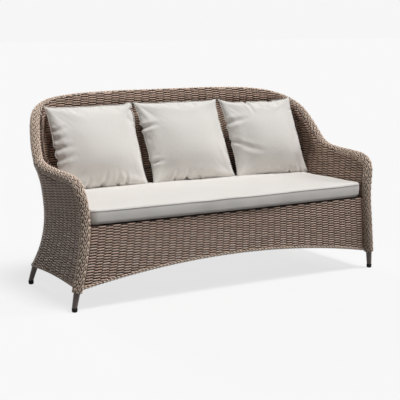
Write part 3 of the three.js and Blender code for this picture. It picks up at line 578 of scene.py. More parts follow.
class SofaMetal(PropertyGroup):
    colour: a_colour("Metal colour", "Colour of the powder coat", (0.075, 0.058, 0.05))
    leg_colour: a_colour("Leg colour", "Colour of the legs' powder coat", (0.16, 0.124, 0.11))
    glide_colour: a_colour("Glide colour", "Colour of the glides", (0.012, 0.012, 0.012))


class SofaStage(PropertyGroup):
    backdrop: a_colour("Backdrop", "Colour of the floor and backdrop", (0.922, 0.922, 0.922))
    floor_bounce: a_number("Floor bounce", "Grey of the floor as the sofa sees it", 0.17)
    shadow_share: a_number("Shadow", "How strongly the sofa's shadow shows on the floor", 0.2)
    key_direction: a_direction("Key direction", "From the sofa to the main light", (0.12, -0.3, 0.95))
    key_strength: a_number("Key strength", "Strength of the main light", 2.75, most=10)
    side_direction: a_direction("Side direction", "From the sofa to the side light", (0.8, -0.35, 0.5))
    side_strength: a_number("Side strength", "Strength of the side light", 0.8, most=10)
    rear_direction: a_direction("Rear direction", "From the sofa to the rear light", (0.0, 0.94, 0.34))
    rear_strength: a_number("Rear strength", "Strength of the rear light", 0.7, most=10)
    softness: FloatProperty(
        name="Softness", description="Angle that each light fills", default=0.35, min=0.0, subtype="ANGLE",
    )
    sky_strength: a_number("Sky", "Strength of the even light from all sides", 0.07)


STEPS_PER_STAKE = 6
STAKE_SIDES = 6
STAKE_POINTS = 60
APRON_STAKE_POINTS = 24
MEASURING_HEIGHT = SEAT_HEIGHT + 0.1
MEASURING_POINTS = 400
SHORTEST_RUN = 4
WAVE_FLATNESS = 2.1
ROW_UNEVENNESS = 0.00025
HEM_COVER = HEM_RADIUS / 2


def stake_columns(start, end, pitch):
    """Columns from start to end around the body, a few to each stake: their shares of the way around, the
    stakes passed up to each and the distance left to the end, both measured at one height."""
    around = np.linspace(start, end, MEASURING_POINTS)
    places, _ = body_point(around, MEASURING_HEIGHT, 1)
    length = lengths_along(places)
    count = int(round(length[-1] / pitch))
    phase = np.arange(count * STEPS_PER_STAKE + 1) / STEPS_PER_STAKE
    passed = phase / count * length[-1]
    return np.interp(passed, length, around), phase, length[-1] - passed


def weave_wave(phase):
    """From 1 to -1 and back over two stakes, with rounded tops."""
    return np.tanh(WAVE_FLATNESS * np.cos(math.pi * phase)) / math.tanh(WAVE_FLATNESS)


def runs_of(mask):
    """(start, end) of each run of true values that is long enough for a strand."""
    edges = np.flatnonzero(np.diff(np.r_[False, mask, False].astype(int)))
    return [(a, b) for a, b in zip(edges[::2], edges[1::2]) if b - a >= SHORTEST_RUN]


def weave_rows(strands, weave, surface, phase, low, high, rows, pitches, tightness):
    """Strands along the rows. surface(heights) gives places and outward directions at the columns, low and
    high are the panel's edges there and pitches the distance between rows. A tightness over 1 makes the
    strands higher and their swing smaller."""
    height = np.broadcast_to(weave.strand_share * tightness * pitches, phase.shape)
    for k, heights in enumerate(rows):
        wave = weave_wave(phase + k)
        places, outward = surface(heights)
        line = places + outward * (wave[:, None] * weave.swing / tightness)
        for a, b in runs_of((heights > low) & (heights < high)):
            line[a:b, 2] += strands.rng.normal(0, ROW_UNEVENNESS)
            # lift paints shade on each strand's inner side where it lies out and its outer side where it
            # dips behind a stake.
            strands.add(line[a:b], outward[a:b], height[a:b], weave.strand_depth, lift=wave[a:b])


def apron_places(shares, z):
    """Places on the front apron at shares of its half width, and its outward direction."""
    places = np.stack([shares * (front_half_width(z) - APRON_INSET), apron_y(z), z], -1)
    return places, np.broadcast_to([0.0, -1.0, 0.0], places.shape)


APRON_TIGHTNESS = 1.06
APRON_ROWS = 60


class SOFA_OT_apron(Operator):
    """Weaves the front apron"""

    bl_idname = "sofa.apron"
    bl_label = "Front apron"

    def execute(self, context):
        weave = context.scene.sofa_weave
        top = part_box("front_weave")[1].z
        half = float(front_half_width(HEM_HEIGHT))
        count = int(round(2 * half / weave.apron_stake_pitch))
        phase = np.arange(count * STEPS_PER_STAKE + 1) / STEPS_PER_STAKE
        shares = 2 * phase / count - 1
        pitches = weave.row_pitch + weave.row_spread * shares**2
        rows = [top - weave.row_pitch / 2 - k * pitches for k in range(APRON_ROWS)]
        strands = Strands(seed=11)

        def surface(heights):
            return apron_places(shares, heights)

        low = front_hem(shares * half) + HEM_COVER
        weave_rows(strands, weave, surface, phase, low, top, rows, pitches, APRON_TIGHTNESS)
        for share in shares[::STEPS_PER_STAKE]:
            z = np.linspace(front_hem(share * half), top, APRON_STAKE_POINTS)
            # With no lift the stake gets an even middling painted shade from the strand material.
            strands.add(*apron_places(share, z), weave.stake_radius, weave.stake_radius, STAKE_SIDES)
        carried(strands.make("front_apron_weave", WOVEN), "frame", "weave", "front_weave")
        return {"FINISHED"}


# How the body panels end at the hoop
RIM_COVER = 0.006
RIM_DRAW_IN = 0.005
DRAW_IN_BELOW = 0.03
DRAW_IN_HEIGHT = 0.024
LINING_START = 0.15
LINING_LENGTH = 0.12
LINING_DEPTH = 0.0235
LINING_HEIGHT = 0.075
LINING_BELOW = 1.1
LINING_RISE = 0.011
LINING_BEND = 14

BODY_TIGHTNESS = 1.25
BODY_ROWS = 150
SIDE_ROW_SHARE = 1.08
SIDE_ROW_TILT = 0.1
SIDE_FIRST_ROW = HEM_MIDDLE - 0.06
SIDE_LEVEL_ROW = 0.43
BACK_FIRST_ROW = HEM_MIDDLE + 0.001
BACK_SPLIT_ROW = 55


def lining_share(around):
    """How far the weave lines the hoop's inner face: not on the arms, wholly on the back."""
    return smooth_step((around - LINING_START) / LINING_LENGTH)


def panel_top(around):
    return rim_height(around) + RIM_COVER + LINING_RISE * lining_share(around)


def panel_surface(around, side):
    """A body panel's places and outward directions at the columns, as a function of the height. Under the
    arms the panel draws in to pass inside the tube, along the back it follows the braid's inner face."""
    rim, lining = rim_height(around), lining_share(around)

    def surface(z):
        over = z - rim
        draw_in = RIM_DRAW_IN * smooth_step((over + DRAW_IN_BELOW) / DRAW_IN_HEIGHT)
        hug = smooth_step(over / LINING_HEIGHT + LINING_BELOW) - LINING_BEND * np.maximum(over, 0)
        return body_point(around, z, side, lerp(draw_in, LINING_DEPTH * hug, lining))

    return surface


def add_stakes(strands, weave, stakes, side, hem):
    for around in stakes:
        z = np.linspace(float(hem(around)), float(panel_top(around)), STAKE_POINTS)
        places, outward = panel_surface(np.full_like(z, around), side)(z)
        # With no lift the stake gets an even middling painted shade from the strand material.
        strands.add(places, outward, weave.stake_radius, weave.stake_radius, STAKE_SIDES)


def side_rows(ahead, pitch):
    """Row heights over the columns: they rise towards the front, less so higher up."""
    rows = []
    for level in SIDE_FIRST_ROW + np.arange(BODY_ROWS) * pitch:
        tilt_left = 1 - (level - SIDE_FIRST_ROW) / (SIDE_LEVEL_ROW - SIDE_FIRST_ROW)
        rows.append(level + SIDE_ROW_TILT * max(tilt_left, 0.0) * ahead)
    return rows


class SOFA_OT_sides(Operator):
    """Weaves both side panels, round to the rear uprights"""

    bl_idname = "sofa.sides"
    bl_label = "Side panels"

    def execute(self, context):
        weave = context.scene.sofa_weave
        columns, phase, ahead = stake_columns(0.0, UPRIGHT_SHARE, weave.side_stake_pitch)
        low, high = side_hem(columns) + HEM_COVER, panel_top(columns)
        pitch = weave.row_pitch * SIDE_ROW_SHARE
        rows = side_rows(ahead, pitch)
        for word, side in SIDES:
            strands = Strands(seed=21 + side)
            surface = panel_surface(columns, side)
            weave_rows(strands, weave, surface, phase, low, high, rows, pitch, BODY_TIGHTNESS)
            add_stakes(strands, weave, columns[::STEPS_PER_STAKE], side, side_hem)
            carried(strands.make(f"{word}_side_panel", WOVEN), "frame", "weave", f"{word}_side_weave")
        return {"FINISHED"}


class SOFA_OT_back(Operator):
    """Weaves the back, from one rear upright round to the other, in a lower and an upper stretch"""

    bl_idname = "sofa.back"
    bl_label = "Back panel"

    def execute(self, context):
        weave = context.scene.sofa_weave
        half, *_ = stake_columns(UPRIGHT_SHARE, 1.0, weave.back_stake_pitch)
        columns, sides = round_the_back(half)
        phase = np.arange(len(columns)) / STEPS_PER_STAKE
        low, high = rear_hem(columns) + HEM_COVER, panel_top(columns)
        surface = panel_surface(columns, sides)
        levels = BACK_FIRST_ROW + np.arange(BODY_ROWS) * weave.row_pitch
        rows = [np.full_like(columns, level) for level in levels]
        lower, upper = Strands(seed=31), Strands(seed=86)
        for strands, first, last in ((lower, 0, BACK_SPLIT_ROW), (upper, BACK_SPLIT_ROW, BODY_ROWS)):
            weave_rows(
                strands, weave, surface, phase + first, low, high, rows[first:last], weave.row_pitch,
                BODY_TIGHTNESS,
            )
        stakes = half[::STEPS_PER_STAKE]
        add_stakes(upper, weave, stakes, -1, rear_hem)
        add_stakes(upper, weave, stakes[:-1], 1, rear_hem)
        carried(lower.make("lower_back_panel", WOVEN), "frame", "weave", "back_weave")
        carried(upper.make("upper_back_panel", WOVEN), "frame", "weave", "back_weave")
        return {"FINISHED"}


BRAID_STEP = 0.0035
BRAID_CLEARANCE = 0.0006
REED_SPREAD = 1.25
REED_DEPTH_SHARE = 0.85
REED_SIDES = 6
TONE_STEPS = (0.37, 0.11, 0.23)


def hoop_line():
    """The whole hoop, from the left post's foot over the back to the right post's foot."""
    shares = np.array(POST_LINE_SHARES + ARM_LINE_SHARES + BACK_HOOP_SHARES)
    around, sides = round_the_back(shares[:, 0])
    return body_point(around, BACK_HEIGHT * mirrored(shares[:, 1]), sides, -BORDER_OFFSET)[0]


def braid_stretch(strands, braid, line, normals, besides, lengths):
    """Strands wound both ways round a stretch of the hoop, each over one and under one of the others."""
    count, pitch = braid.strands, braid.strands * braid.hole_pitch
    middle_radius = RAIL_RADIUS + BRAID_CLEARANCE + braid.reed_radius + braid.swing
    lead = braid.reed_radius * REED_SPREAD / (2 * math.pi * middle_radius)
    for way in (1, -1):
        lift = way * np.cos(2 * math.pi * count * lengths / pitch)
        radius = middle_radius + lift * braid.swing
        for k in range(count):
            turn = lengths / pitch * way + k / count
            for reed in (-1, 1):
                out = turned_out(normals, besides, 2 * math.pi * (turn + reed * lead))
                tone = np.dot((k, reed, way), TONE_STEPS) % 1
                across, depth = braid.reed_radius, braid.reed_radius * REED_DEPTH_SHARE
                # lift moves each reed over and under and also paints shade on the side it turns in.
                strands.add(line + out * radius[:, None], out, across, depth, REED_SIDES, lift, tone)


class SOFA_OT_border(Operator):
    """Braids the border over the posts, arms and back rail"""

    bl_idname = "sofa.border"
    bl_label = "Braided border"

    def execute(self, context):
        line, lengths = resampled(hoop_line(), BRAID_STEP)
        normals, besides = carried_directions(line)
        arm_start, arm_end = (BACK_HEIGHT * ARM_LINE_SHARES[k][1] for k in (0, -1))
        over_post = np.flatnonzero(line[:, 2] >= arm_start)
        rail_around = ARM_LINE_SHARES[-1][0]
        rail_half = body_point(rail_around, arm_end, 1, -BORDER_OFFSET)[0][0]
        on_rail = np.flatnonzero((np.abs(line[:, 0]) < rail_half) & (line[:, 2] > arm_end))
        cuts = [0, over_post[0], on_rail[0], on_rail[-1], over_post[-1] + 1, len(line) - 1]
        names = ("left_front_post", "left_arm", "back_rail", "right_arm", "right_front_post")
        for name, start, end in zip(names, cuts, cuts[1:]):
            strands = Strands(seed=41)
            stretch = [values[start : end + 1] for values in (line, normals, besides, lengths)]
            braid_stretch(strands, context.scene.sofa_braid, *stretch)
            carried(strands.make(f"{name}_braid", BRAIDED), "frame", "plait", f"{name}_border")
        return {"FINISHED"}


ROPE_STEP = 0.003
ROPE_STRAND_RADIUS = HEM_RADIUS / 2
ROPE_STRAND_WIDTH = 1.12 * ROPE_STRAND_RADIUS
# Sets painted shade on the inner side of each rope strand; it doesn't move the strands.
ROPE_SHADE_LIFT = 0.3
FRONT_HEM_POINTS = 41
BODY_HEM_POINTS = 40


def hem_lines():
    """The middle line of each hem."""
    xs = np.linspace(-1, 1, FRONT_HEM_POINTS) * front_half_width(HEM_HEIGHT)
    z = front_hem(xs)
    lines = {"front": np.stack([xs, apron_y(z), z], -1)}
    around, sides = round_the_back(np.linspace(UPRIGHT_SHARE, 1, BODY_HEM_POINTS))
    lines["rear"] = body_point(around, rear_hem(around), sides)[0]
    around = np.linspace(0, UPRIGHT_SHARE, BODY_HEM_POINTS)
    for word, side in SIDES:
        lines[word] = body_point(around, side_hem(around), side)[0]
    return lines


class SOFA_OT_hems(Operator):
    """Twists a rope of two strands along the lower edge of each panel"""

    bl_idname = "sofa.hems"
    bl_label = "Rope hems"

    def execute(self, context):
        for name, points in hem_lines().items():
            line, lengths = resampled(points, ROPE_STEP)
            normals, besides = carried_directions(line)
            strands = Strands(seed=51)
            for half_turn in (0.0, 0.5):
                turns = lengths / context.scene.sofa_braid.rope_pitch + half_turn
                out = turned_out(normals, besides, 2 * math.pi * turns)
                strand = line + out * ROPE_STRAND_RADIUS
                strands.add(strand, out, ROPE_STRAND_WIDTH, ROPE_STRAND_RADIUS, lift=ROPE_SHADE_LIFT)
            carried(strands.make(f"{name}_hem_rope", BRAIDED), "frame", "plait", f"{name}_hem")
        return {"FINISHED"}


# Rows of radius and height
GLIDE_PROFILE = (
    (0.0, 0.0), (0.007, 0.0), (0.0105, 0.0014), (0.0125, 0.0048), (0.013, 0.009), (0.013, 0.018),
    (0.0122, 0.0202), (0.0, 0.0202),
)
GLIDE_SIDES = 32


def turned(name, centre, profile, sides, material):
    """A solid of revolution about the vertical through centre, from rows of (radius, height)."""
    mesh = bpy.data.meshes.new(name)
    bm = bmesh.new()
    rings = []
    for radius, height in profile:
        angles = [2 * math.pi * k / sides for k in range(sides if radius else 1)]
        ring = [(centre.x + radius * math.cos(a), centre.y + radius * math.sin(a), height) for a in angles]
        rings.append([bm.verts.new(point) for point in ring])
    for low, high in zip(rings, rings[1:]):
        for k in range(sides):
            order = ((low, k), (low, k + 1), (high, k + 1), (high, k))
            bm.faces.new(list(dict.fromkeys(ring[at % len(ring)] for ring, at in order)))
    bm.to_mesh(mesh)
    bm.free()
    return placed(name, mesh, material)


STRAP_PITCH = 0.04
STRAP_STEP = STRAP_PITCH / 4
STRAP_HALF_WIDTH = 0.0155
STRAP_HALF_DEPTH = 0.001
STRAP_SWING = 0.0016
STRAPS_EACH_SIDE = 18
DECK_OUTLINE_POINTS = 300


def add_strap(strands, x, y, z, wave):
    line = np.stack(np.broadcast_arrays(x, y, z + STRAP_SWING * wave), -1)
    upward = np.tile([0.0, 0.0, 1.0], (len(line), 1))
    # lift paints shade on each strap where it dips under the straps across it.
    strands.add(line, upward, STRAP_HALF_WIDTH, STRAP_HALF_DEPTH, lift=wave)


def deck_straps(strands):
    """Broad flat strands woven over the seat frame, square to each other, within the deck's outline."""
    low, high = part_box("seat_deck")
    z = (low.z + high.z) / 2
    outline, _ = body_point(np.linspace(0, 1, DECK_OUTLINE_POINTS), z, 1, SEAT_INSET)
    rows = np.arange(low.y + STRAP_PITCH / 2, high.y - STRAP_PITCH / 2, STRAP_PITCH)
    for k, y in enumerate(rows):
        half = np.interp(y + STRAP_HALF_WIDTH, outline[:, 1], outline[:, 0])
        x = np.arange(-half, half, STRAP_STEP)
        add_strap(strands, x, y, z, np.cos(math.pi * (x / STRAP_PITCH + k)))
    for k in range(-STRAPS_EACH_SIDE, STRAPS_EACH_SIDE + 1):
        x = k * STRAP_PITCH
        rear = np.interp(-abs(x) - STRAP_HALF_WIDTH, -outline[:, 0], outline[:, 1])
        y = np.arange(low.y + STRAP_HALF_WIDTH, rear, STRAP_STEP)
        add_strap(strands, x, y, z, -np.cos(math.pi * (k + (y - rows[0]) / STRAP_PITCH)))


WRAP_RADIUS = 0.012
WRAP_STRAND = 0.0023
WRAP_SIDES = 6
WRAP_PITCH = 0.0049
WRAP_STEP = WRAP_PITCH / 10
# Painted shade on the wrap in bands that change from turn to turn; the strand itself isn't moved.
WRAP_SHADE_LIFT = 0.3
WRAP_SHADE_SWING = 0.6
WRAP_POINTS = 40
WRAP_OVER_DECK = 0.005
WRAP_UNDER_RIM = 0.002


def upright_wrap(strands, around, side, foot):
    """A strand wound closely round an upright, from over the seat to the hoop, with painted shade in bands.
    """
    z = np.linspace(foot, float(rim_height(around)) - WRAP_UNDER_RIM, WRAP_POINTS)
    points, _ = body_point(around, z, side, UPRIGHT_INSET)
    line, lengths = resampled(points, WRAP_STEP)
    out = turned_out(*carried_directions(line), 2 * math.pi * lengths / WRAP_PITCH)
    lift = WRAP_SHADE_LIFT + WRAP_SHADE_SWING * np.sin(math.pi * lengths / WRAP_PITCH)
    strands.add(line + out * WRAP_RADIUS, out, WRAP_STRAND, WRAP_STRAND, WRAP_SIDES, lift=lift)


class SOFA_OT_metal(Operator):
    """Frame, legs and glides, the strands wound round the uprights and the woven seat deck"""

    bl_idname = "sofa.metal"
    bl_label = "Frame, legs and deck"

    def execute(self, context):
        metal = context.scene.sofa_metal
        coat = tube_material("Powder coat", metal.colour, roughness=0.45)
        leg_coat = tube_material("Leg coat", metal.leg_colour, roughness=0.45)
        rubber = rubber_material("Glide rubber", metal.glide_colour)
        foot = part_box("seat_deck")[1].z + WRAP_OVER_DECK
        share = SEAT_HEIGHT / BACK_HEIGHT
        straight_half = HALF_WIDTH * rear_width_share(share) - BACK_REACH * corner_radius_share(share)
        back_around = 1 - (1 - CORNER_END_SHARE) * BACK_UPRIGHT_X / float(straight_half)
        for word, side in SIDES:
            for place, around in (("rear", UPRIGHT_SHARE), ("back", back_around)):
                strands = Strands(seed=81)
                upright_wrap(strands, around, side, foot)
                carried(strands.make(f"{word}_{place}_upright_wrap", WOVEN), "frame", "weave")
        deck = Strands(seed=91)
        deck_straps(deck)
        carried(deck.make("seat_deck_straps", WOVEN), "frame", "weave", "seat_deck")
        for name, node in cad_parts.items():
            if name.endswith("glide"):
                low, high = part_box(name)
                tip = turned(f"{name}_tip", (low + high) / 2, GLIDE_PROFILE, GLIDE_SIDES, rubber)
                carried(tip, "frame", "glide", name)
            elif not node.hide_render:
                node.data.materials.clear()
                node.data.materials.append(leg_coat if name.endswith("leg") else coat)
        return {"FINISHED"}


SEAT_TOP_HEIGHT = 0.45
SEAT_LOW_EDGE = 0.016
SEAT_EDGE = 0.009
SEAT_CROWN = 0.008
SEAT_TAPER = 0.008
SEAT_FRONT_BOW = 0.01
SEAT_FRONT_CORNER = 0.042
SEAT_REAR_CORNER = 0.13
SEAT_SIDE_BULGE = 0.0012
SEAT_WAVINESS = 0.0011
SEAT_SIDE_WAVINESS = 0.8 * SEAT_WAVINESS
SEAT_SWELL = 0.22
SEAT_SIDE_SWELL = 0.12
SEAT_STEP = 0.011
SEAT_UNDERSIDE_SHARES = (0.3, 0.7, 0.94)
SEAT_EDGE_POINTS = 6
SEAT_SIDE_POINTS = 7
SEAT_TOP_RINGS = 34
SEAT_TOP_START = 0.985
SEAT_TOP_END = 0.04
SEAT_FRONT_POINTS = 40
SEAT_FRONT_CORNER_POINTS = 12
SEAT_REAR_CORNER_POINTS = 20
PIPING_OUT_SHARE = 0.35
SWELLS = 9
SWELL_LEAST, SWELL_MOST = 0.6, 1.7
SWELL_PHASES = 6.3
SWELL_SHARE = 3
SEAM_SIDES = 6


def corner_arc(centre_x, centre_y, radius, turn):
    return np.stack([centre_x + radius * np.cos(turn), centre_y + radius * np.sin(turn)], -1)


def seat_outline(front, rear, half_front, half_rear):
    """The seat cushion's outline in plan, in even steps, counter-clockwise from the middle of the front."""
    share = np.linspace(0, 1, SEAT_FRONT_POINTS)
    front_corner, rear_corner = SEAT_FRONT_CORNER, SEAT_REAR_CORNER
    front_x, front_y = half_front - front_corner, front + SEAT_FRONT_BOW + front_corner
    front_turn = np.linspace(-math.pi / 2, 0, SEAT_FRONT_CORNER_POINTS)[1:]
    rear_turn = np.linspace(0, math.pi / 2, SEAT_REAR_CORNER_POINTS)
    half = np.concatenate([
        np.stack([share * front_x, front + SEAT_FRONT_BOW * share**2], -1),
        corner_arc(front_x, front_y, front_corner, front_turn),
        corner_arc(half_rear - rear_corner, rear - rear_corner, rear_corner, rear_turn),
        [[0, rear]],
    ])
    outline = np.concatenate([half, half[1:-1][::-1] * [-1, 1], half[:1]])
    whole = lengths_along(outline)[-1]
    return at_distances(np.linspace(0, whole, int(whole / SEAT_STEP) + 1)[:-1], outline)


def waviness(places, seed, length):
    """A gentle unevenness of about 1, with swells of about the given length."""
    rng = np.random.default_rng(seed)
    total = np.zeros(len(places))
    for _ in range(SWELLS):
        direction = unit(rng.normal(size=3))
        wave = 2 * math.pi / (length * rng.uniform(SWELL_LEAST, SWELL_MOST))
        total += np.sin(places @ direction * wave + rng.uniform(0, SWELL_PHASES)) / SWELL_SHARE
    return total


def seat_rings(base):
    """Rings of the seat cushion from the middle of its underside to the middle of its top, as (share of the
    outline, inset, height), and the number of the ring that carries the piping."""
    low_edge, edge, top = SEAT_LOW_EDGE, SEAT_EDGE, SEAT_TOP_HEIGHT
    turns = np.linspace(0, math.pi / 2, SEAT_EDGE_POINTS)
    rings = [(share, low_edge * share, base) for share in SEAT_UNDERSIDE_SHARES]
    rings += [(1, low_edge * (1 - math.sin(t)), base + low_edge * (1 - math.cos(t))) for t in turns]
    for share in np.linspace(0, 1, SEAT_SIDE_POINTS)[1:-1]:
        bulge = SEAT_SIDE_BULGE * math.sin(math.pi * share)
        rings.append((1, -bulge, lerp(base + low_edge, top - edge, share)))
    seam = len(rings)
    rings += [(1, edge * (1 - math.cos(t)), top - edge * (1 - math.sin(t))) for t in turns]
    for share in np.linspace(SEAT_TOP_START, SEAT_TOP_END, SEAT_TOP_RINGS):
        rings.append((share, edge * share, top + SEAT_CROWN * (1 - share**4)))
    return rings, seam


def seam_round(name, line, outward, radius, body, seed):
    """A closed seam along the line, on the cushion's body."""
    strands = Strands(seed)
    strands.add(np.r_[line, line[:2]], np.r_[outward, outward[:2]], radius, radius, SEAM_SIDES)
    carried(strands.make(name, CLOTH), body, "cushion")


def seat_cushion(piping_radius):
    """The crowned seat cushion with its piping: firm foam, so it isn't simulated."""
    low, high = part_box("seat_cushion")
    outline = seat_outline(low.y, high.y, high.x, high.x - SEAT_TAPER)
    outward = unit(np.roll(outline, -1, axis=0) - np.roll(outline, 1, axis=0)) @ np.array([[0, -1], [1, 0]])
    middle = np.array([0, (low.y + high.y) / 2])
    rings, seam = seat_rings(low.z)
    width = len(outline)
    co = np.concatenate([
        np.c_[middle + (outline - outward * inset - middle) * share, np.full(width, z)]
        for share, inset, z in rings
    ])
    lift = smooth_step((co[:, 2] - low.z) / (SEAT_TOP_HEIGHT - low.z))
    co[:, 2] += SEAT_WAVINESS * waviness(co, seed=5, length=SEAT_SWELL) * lift
    sideways = unit(np.c_[co[:, :2] - middle, np.zeros(len(co))])
    co += sideways * (SEAT_SIDE_WAVINESS * waviness(co, seed=8, length=SEAT_SIDE_SWELL))[:, None]
    at, quads = ring_faces(0, len(rings), width)
    faces = quads.tolist() + [at[0][::-1].tolist(), at[-1].tolist()]
    ob = from_points("seat_cushion_cover", co, faces, bpy.data.materials[CLOTH])
    carried(ob, "seat_cushion", "cushion", "seat_cushion")
    out = np.c_[outward, np.zeros(width)]
    line = co[at[seam]] + out * piping_radius * PIPING_OUT_SHARE
    seam_round("seat_cushion_piping", line, out, piping_radius, "seat_cushion", seed=61)
    return ob


class Pillow(NamedTuple):
    """A scatter cushion as in the frame. head_gap is how far its head is forward of the back's line, slump
    how far it lies to the left of the foot, turn the turn about the vertical and top_dip how far the upper
    side dips. creases has a row for each crease: from and to, in shares across and up, and a depth."""

    width: float
    foot_x: float
    head_gap: float
    slump: float
    turn: float
    top_dip: float
    creases: tuple


PILLOWS = {
    "left": Pillow(
        width=0.48, foot_x=-0.428, head_gap=0.06, slump=0.03, turn=math.radians(2), top_dip=0.01,
        creases=(
            (-0.97, 0.4, -0.66, 0.52, 0.006), (-0.97, 0.2, -0.72, 0.27, 0.005),
            (-0.98, -0.02, -0.6, 0.06, 0.007), (-0.98, -0.27, -0.58, -0.16, 0.007),
            (-0.42, -0.99, -0.4, -0.68, 0.009), (-0.08, -0.99, 0.02, -0.6, 0.012),
            (0.28, -0.99, 0.27, -0.56, 0.011), (0.5, -0.99, 0.46, -0.64, 0.009),
            (0.98, 0.4, 0.86, 0.42, 0.006), (-0.62, 0.98, -0.55, 0.82, 0.003),
        ),
    ),
    "middle": Pillow(
        width=0.48, foot_x=0.082, head_gap=0.062, slump=0.058, turn=math.radians(-2), top_dip=0.008,
        creases=(
            (-0.99, 0.36, -0.62, 0.45, 0.014), (-0.98, -0.5, -0.7, -0.46, 0.012),
            (-0.5, -0.99, -0.47, -0.7, 0.011), (-0.2, -0.99, -0.19, -0.66, 0.009),
            (0.12, -0.99, 0.1, -0.72, 0.009), (0.98, 0.45, 0.86, 0.46, 0.007),
            (0.98, 0.02, 0.85, 0.03, 0.005), (0.97, -0.7, 0.84, -0.66, 0.005),
            (-0.3, 0.98, -0.27, 0.88, 0.004),
        ),
    ),
    "right": Pillow(
        width=0.438, foot_x=0.541, head_gap=0.103, slump=0.058, turn=math.radians(-4), top_dip=0.022,
        creases=(
            (-0.97, 0.38, -0.4, 0.55, 0.011), (-0.85, -0.22, -0.2, -0.42, 0.008),
            (-0.98, -0.1, -0.55, -0.3, 0.006), (-0.3, 0.99, -0.24, 0.6, 0.009),
            (0.98, 0.66, 0.8, 0.66, 0.008), (0.46, -0.99, 0.44, -0.76, 0.009),
            (0.76, -0.99, 0.74, -0.72, 0.01), (0.98, 0.1, 0.85, 0.1, 0.005),
            (0.98, -0.4, 0.86, -0.38, 0.005),
        ),
    ),
}
PILLOW_HEIGHT = 0.416
PILLOW_LEAN = math.radians(5.7)
PILLOW_CELLS = 60
PILLOW_FRONT_CROWN = 0.082
PILLOW_BACK_CROWN = 0.054
PILLOW_FULLNESS = 0.64
PILLOW_LOW_FULLNESS = 1.05
PILLOW_SIDE_DIP = 0.012
PILLOW_LOW_DIP = 0.004
PILLOW_SAG = 0.016
PILLOW_BELLY = 0.18
CORNER_SHARE = 0.999
OVERHEAD = 1.0

# The flat sheets before they are filled, and the cloth simulation that fills them
SHEET_WIDTH_SHARE = 1.03
SHEET_HEIGHT_SHARE = 1.06
SHEET_FRONT_CROWN = 0.02
SHEET_BACK_CROWN = 0.016
SHEET_UNEVENNESS = 0.0002
SEW_FRAMES = 20
WRINKLE_DEGREE = 6
WRINKLE_GAIN = 1.2

# Creases: widths in metres and for each metre of length, and shares of the width or the depth
CREASE_WIDTH = 0.0045
CREASE_WIDTH_GAIN = 0.06
SWELL_DEPTH_SHARE = 0.5
SWELL_PLACE = 1.9
SEAM_SHARE = 0.9
CREASE_FADE_IN = 3
CREASE_FADE_OUT = 1.2


def pillow_sheets(width, height, front_crown, back_crown, top_dip=0.0, drawn=0.0):
    """Points of two sheets that share their edge, the faces, each point's shares and the edge's numbers.
    drawn, from 0 to 1, pulls the sides in between the corners and lets the filling sag."""
    count = PILLOW_CELLS + 1
    s, t = np.meshgrid(np.linspace(-1, 1, count), np.linspace(-1, 1, count), indexing="ij")
    low_fullness = lerp(PILLOW_FULLNESS, PILLOW_LOW_FULLNESS, drawn)
    full = (1 - s**2) ** PILLOW_FULLNESS * (1 - t**2) ** np.where(t > 0, PILLOW_FULLNESS, low_fullness)
    x = s * (width / 2 - drawn * PILLOW_SIDE_DIP * (1 - t**4))
    dip = np.where(t > 0, top_dip, PILLOW_LOW_DIP)
    z = t * (height / 2 - drawn * dip * (1 - s**4)) - drawn * PILLOW_SAG * full * (1 - t) / 2
    belly = 1 - drawn * PILLOW_BELLY * t
    front = np.stack([x, -front_crown * full * belly, z], -1)
    back = np.stack([x, back_crown * full, z], -1)
    inner = (np.abs(s) < 1) & (np.abs(t) < 1)
    front_at = np.arange(count * count).reshape(count, count)
    back_at = front_at.copy()
    back_at[inner] = count * count + np.arange(inner.sum())
    quads = [
        np.stack([at[:-1, :-1], at[1:, :-1], at[1:, 1:], at[:-1, 1:]], -1).reshape(-1, 4)[:, ::way]
        for at, way in ((front_at, 1), (back_at, -1))
    ]
    co = np.concatenate([front.reshape(-1, 3), back[inner]])
    both = np.stack([s, t], -1)
    shares = np.concatenate([both.reshape(-1, 2), both[inner]])
    edge = np.concatenate([front_at[:, 0], front_at[-1, 1:], front_at[-2::-1, -1], front_at[0, -2:0:-1]])
    return co, np.concatenate(quads), shares, edge


def blown_up(co, faces, seed):
    """The sewn sheets as cloth, filled until they are round, with the wrinkles that this gives."""
    loose = co.copy()
    loose[:, 1] += np.random.default_rng(seed).normal(0, SHEET_UNEVENNESS, len(co))
    ob = from_points("sewn", loose, faces.tolist())
    cloth = ob.modifiers.new("Cloth", "CLOTH").settings
    cloth.quality = 5
    cloth.mass = 0.2
    cloth.tension_stiffness = cloth.compression_stiffness = 15
    cloth.bending_stiffness = 0.5
    cloth.use_pressure = True
    cloth.uniform_pressure_force = 1.25
    cloth.effector_weights.gravity = 0
    scene = bpy.context.scene
    for step in range(1, SEW_FRAMES + 1):
        scene.frame_set(step)
    shaped = ob.evaluated_get(bpy.context.evaluated_depsgraph_get()).data
    out = np.empty(co.size)
    shaped.vertices.foreach_get("co", out)
    bpy.data.objects.remove(ob)
    scene.frame_set(1)
    return out.reshape(-1, 3)


def wrinkles(co, shares):
    """What is left of the blown-up sheets once their even roundness is taken away."""
    terms = np.polynomial.legendre.legvander2d(shares[:, 0], shares[:, 1], [WRINKLE_DEGREE] * 2)
    left = np.zeros_like(co)
    front = np.arange(len(co)) < (PILLOW_CELLS + 1) ** 2
    for sheet in (front, ~front):
        even, *_ = np.linalg.lstsq(terms[sheet], co[sheet], rcond=None)
        left[sheet] = co[sheet] - terms[sheet] @ even
    return left


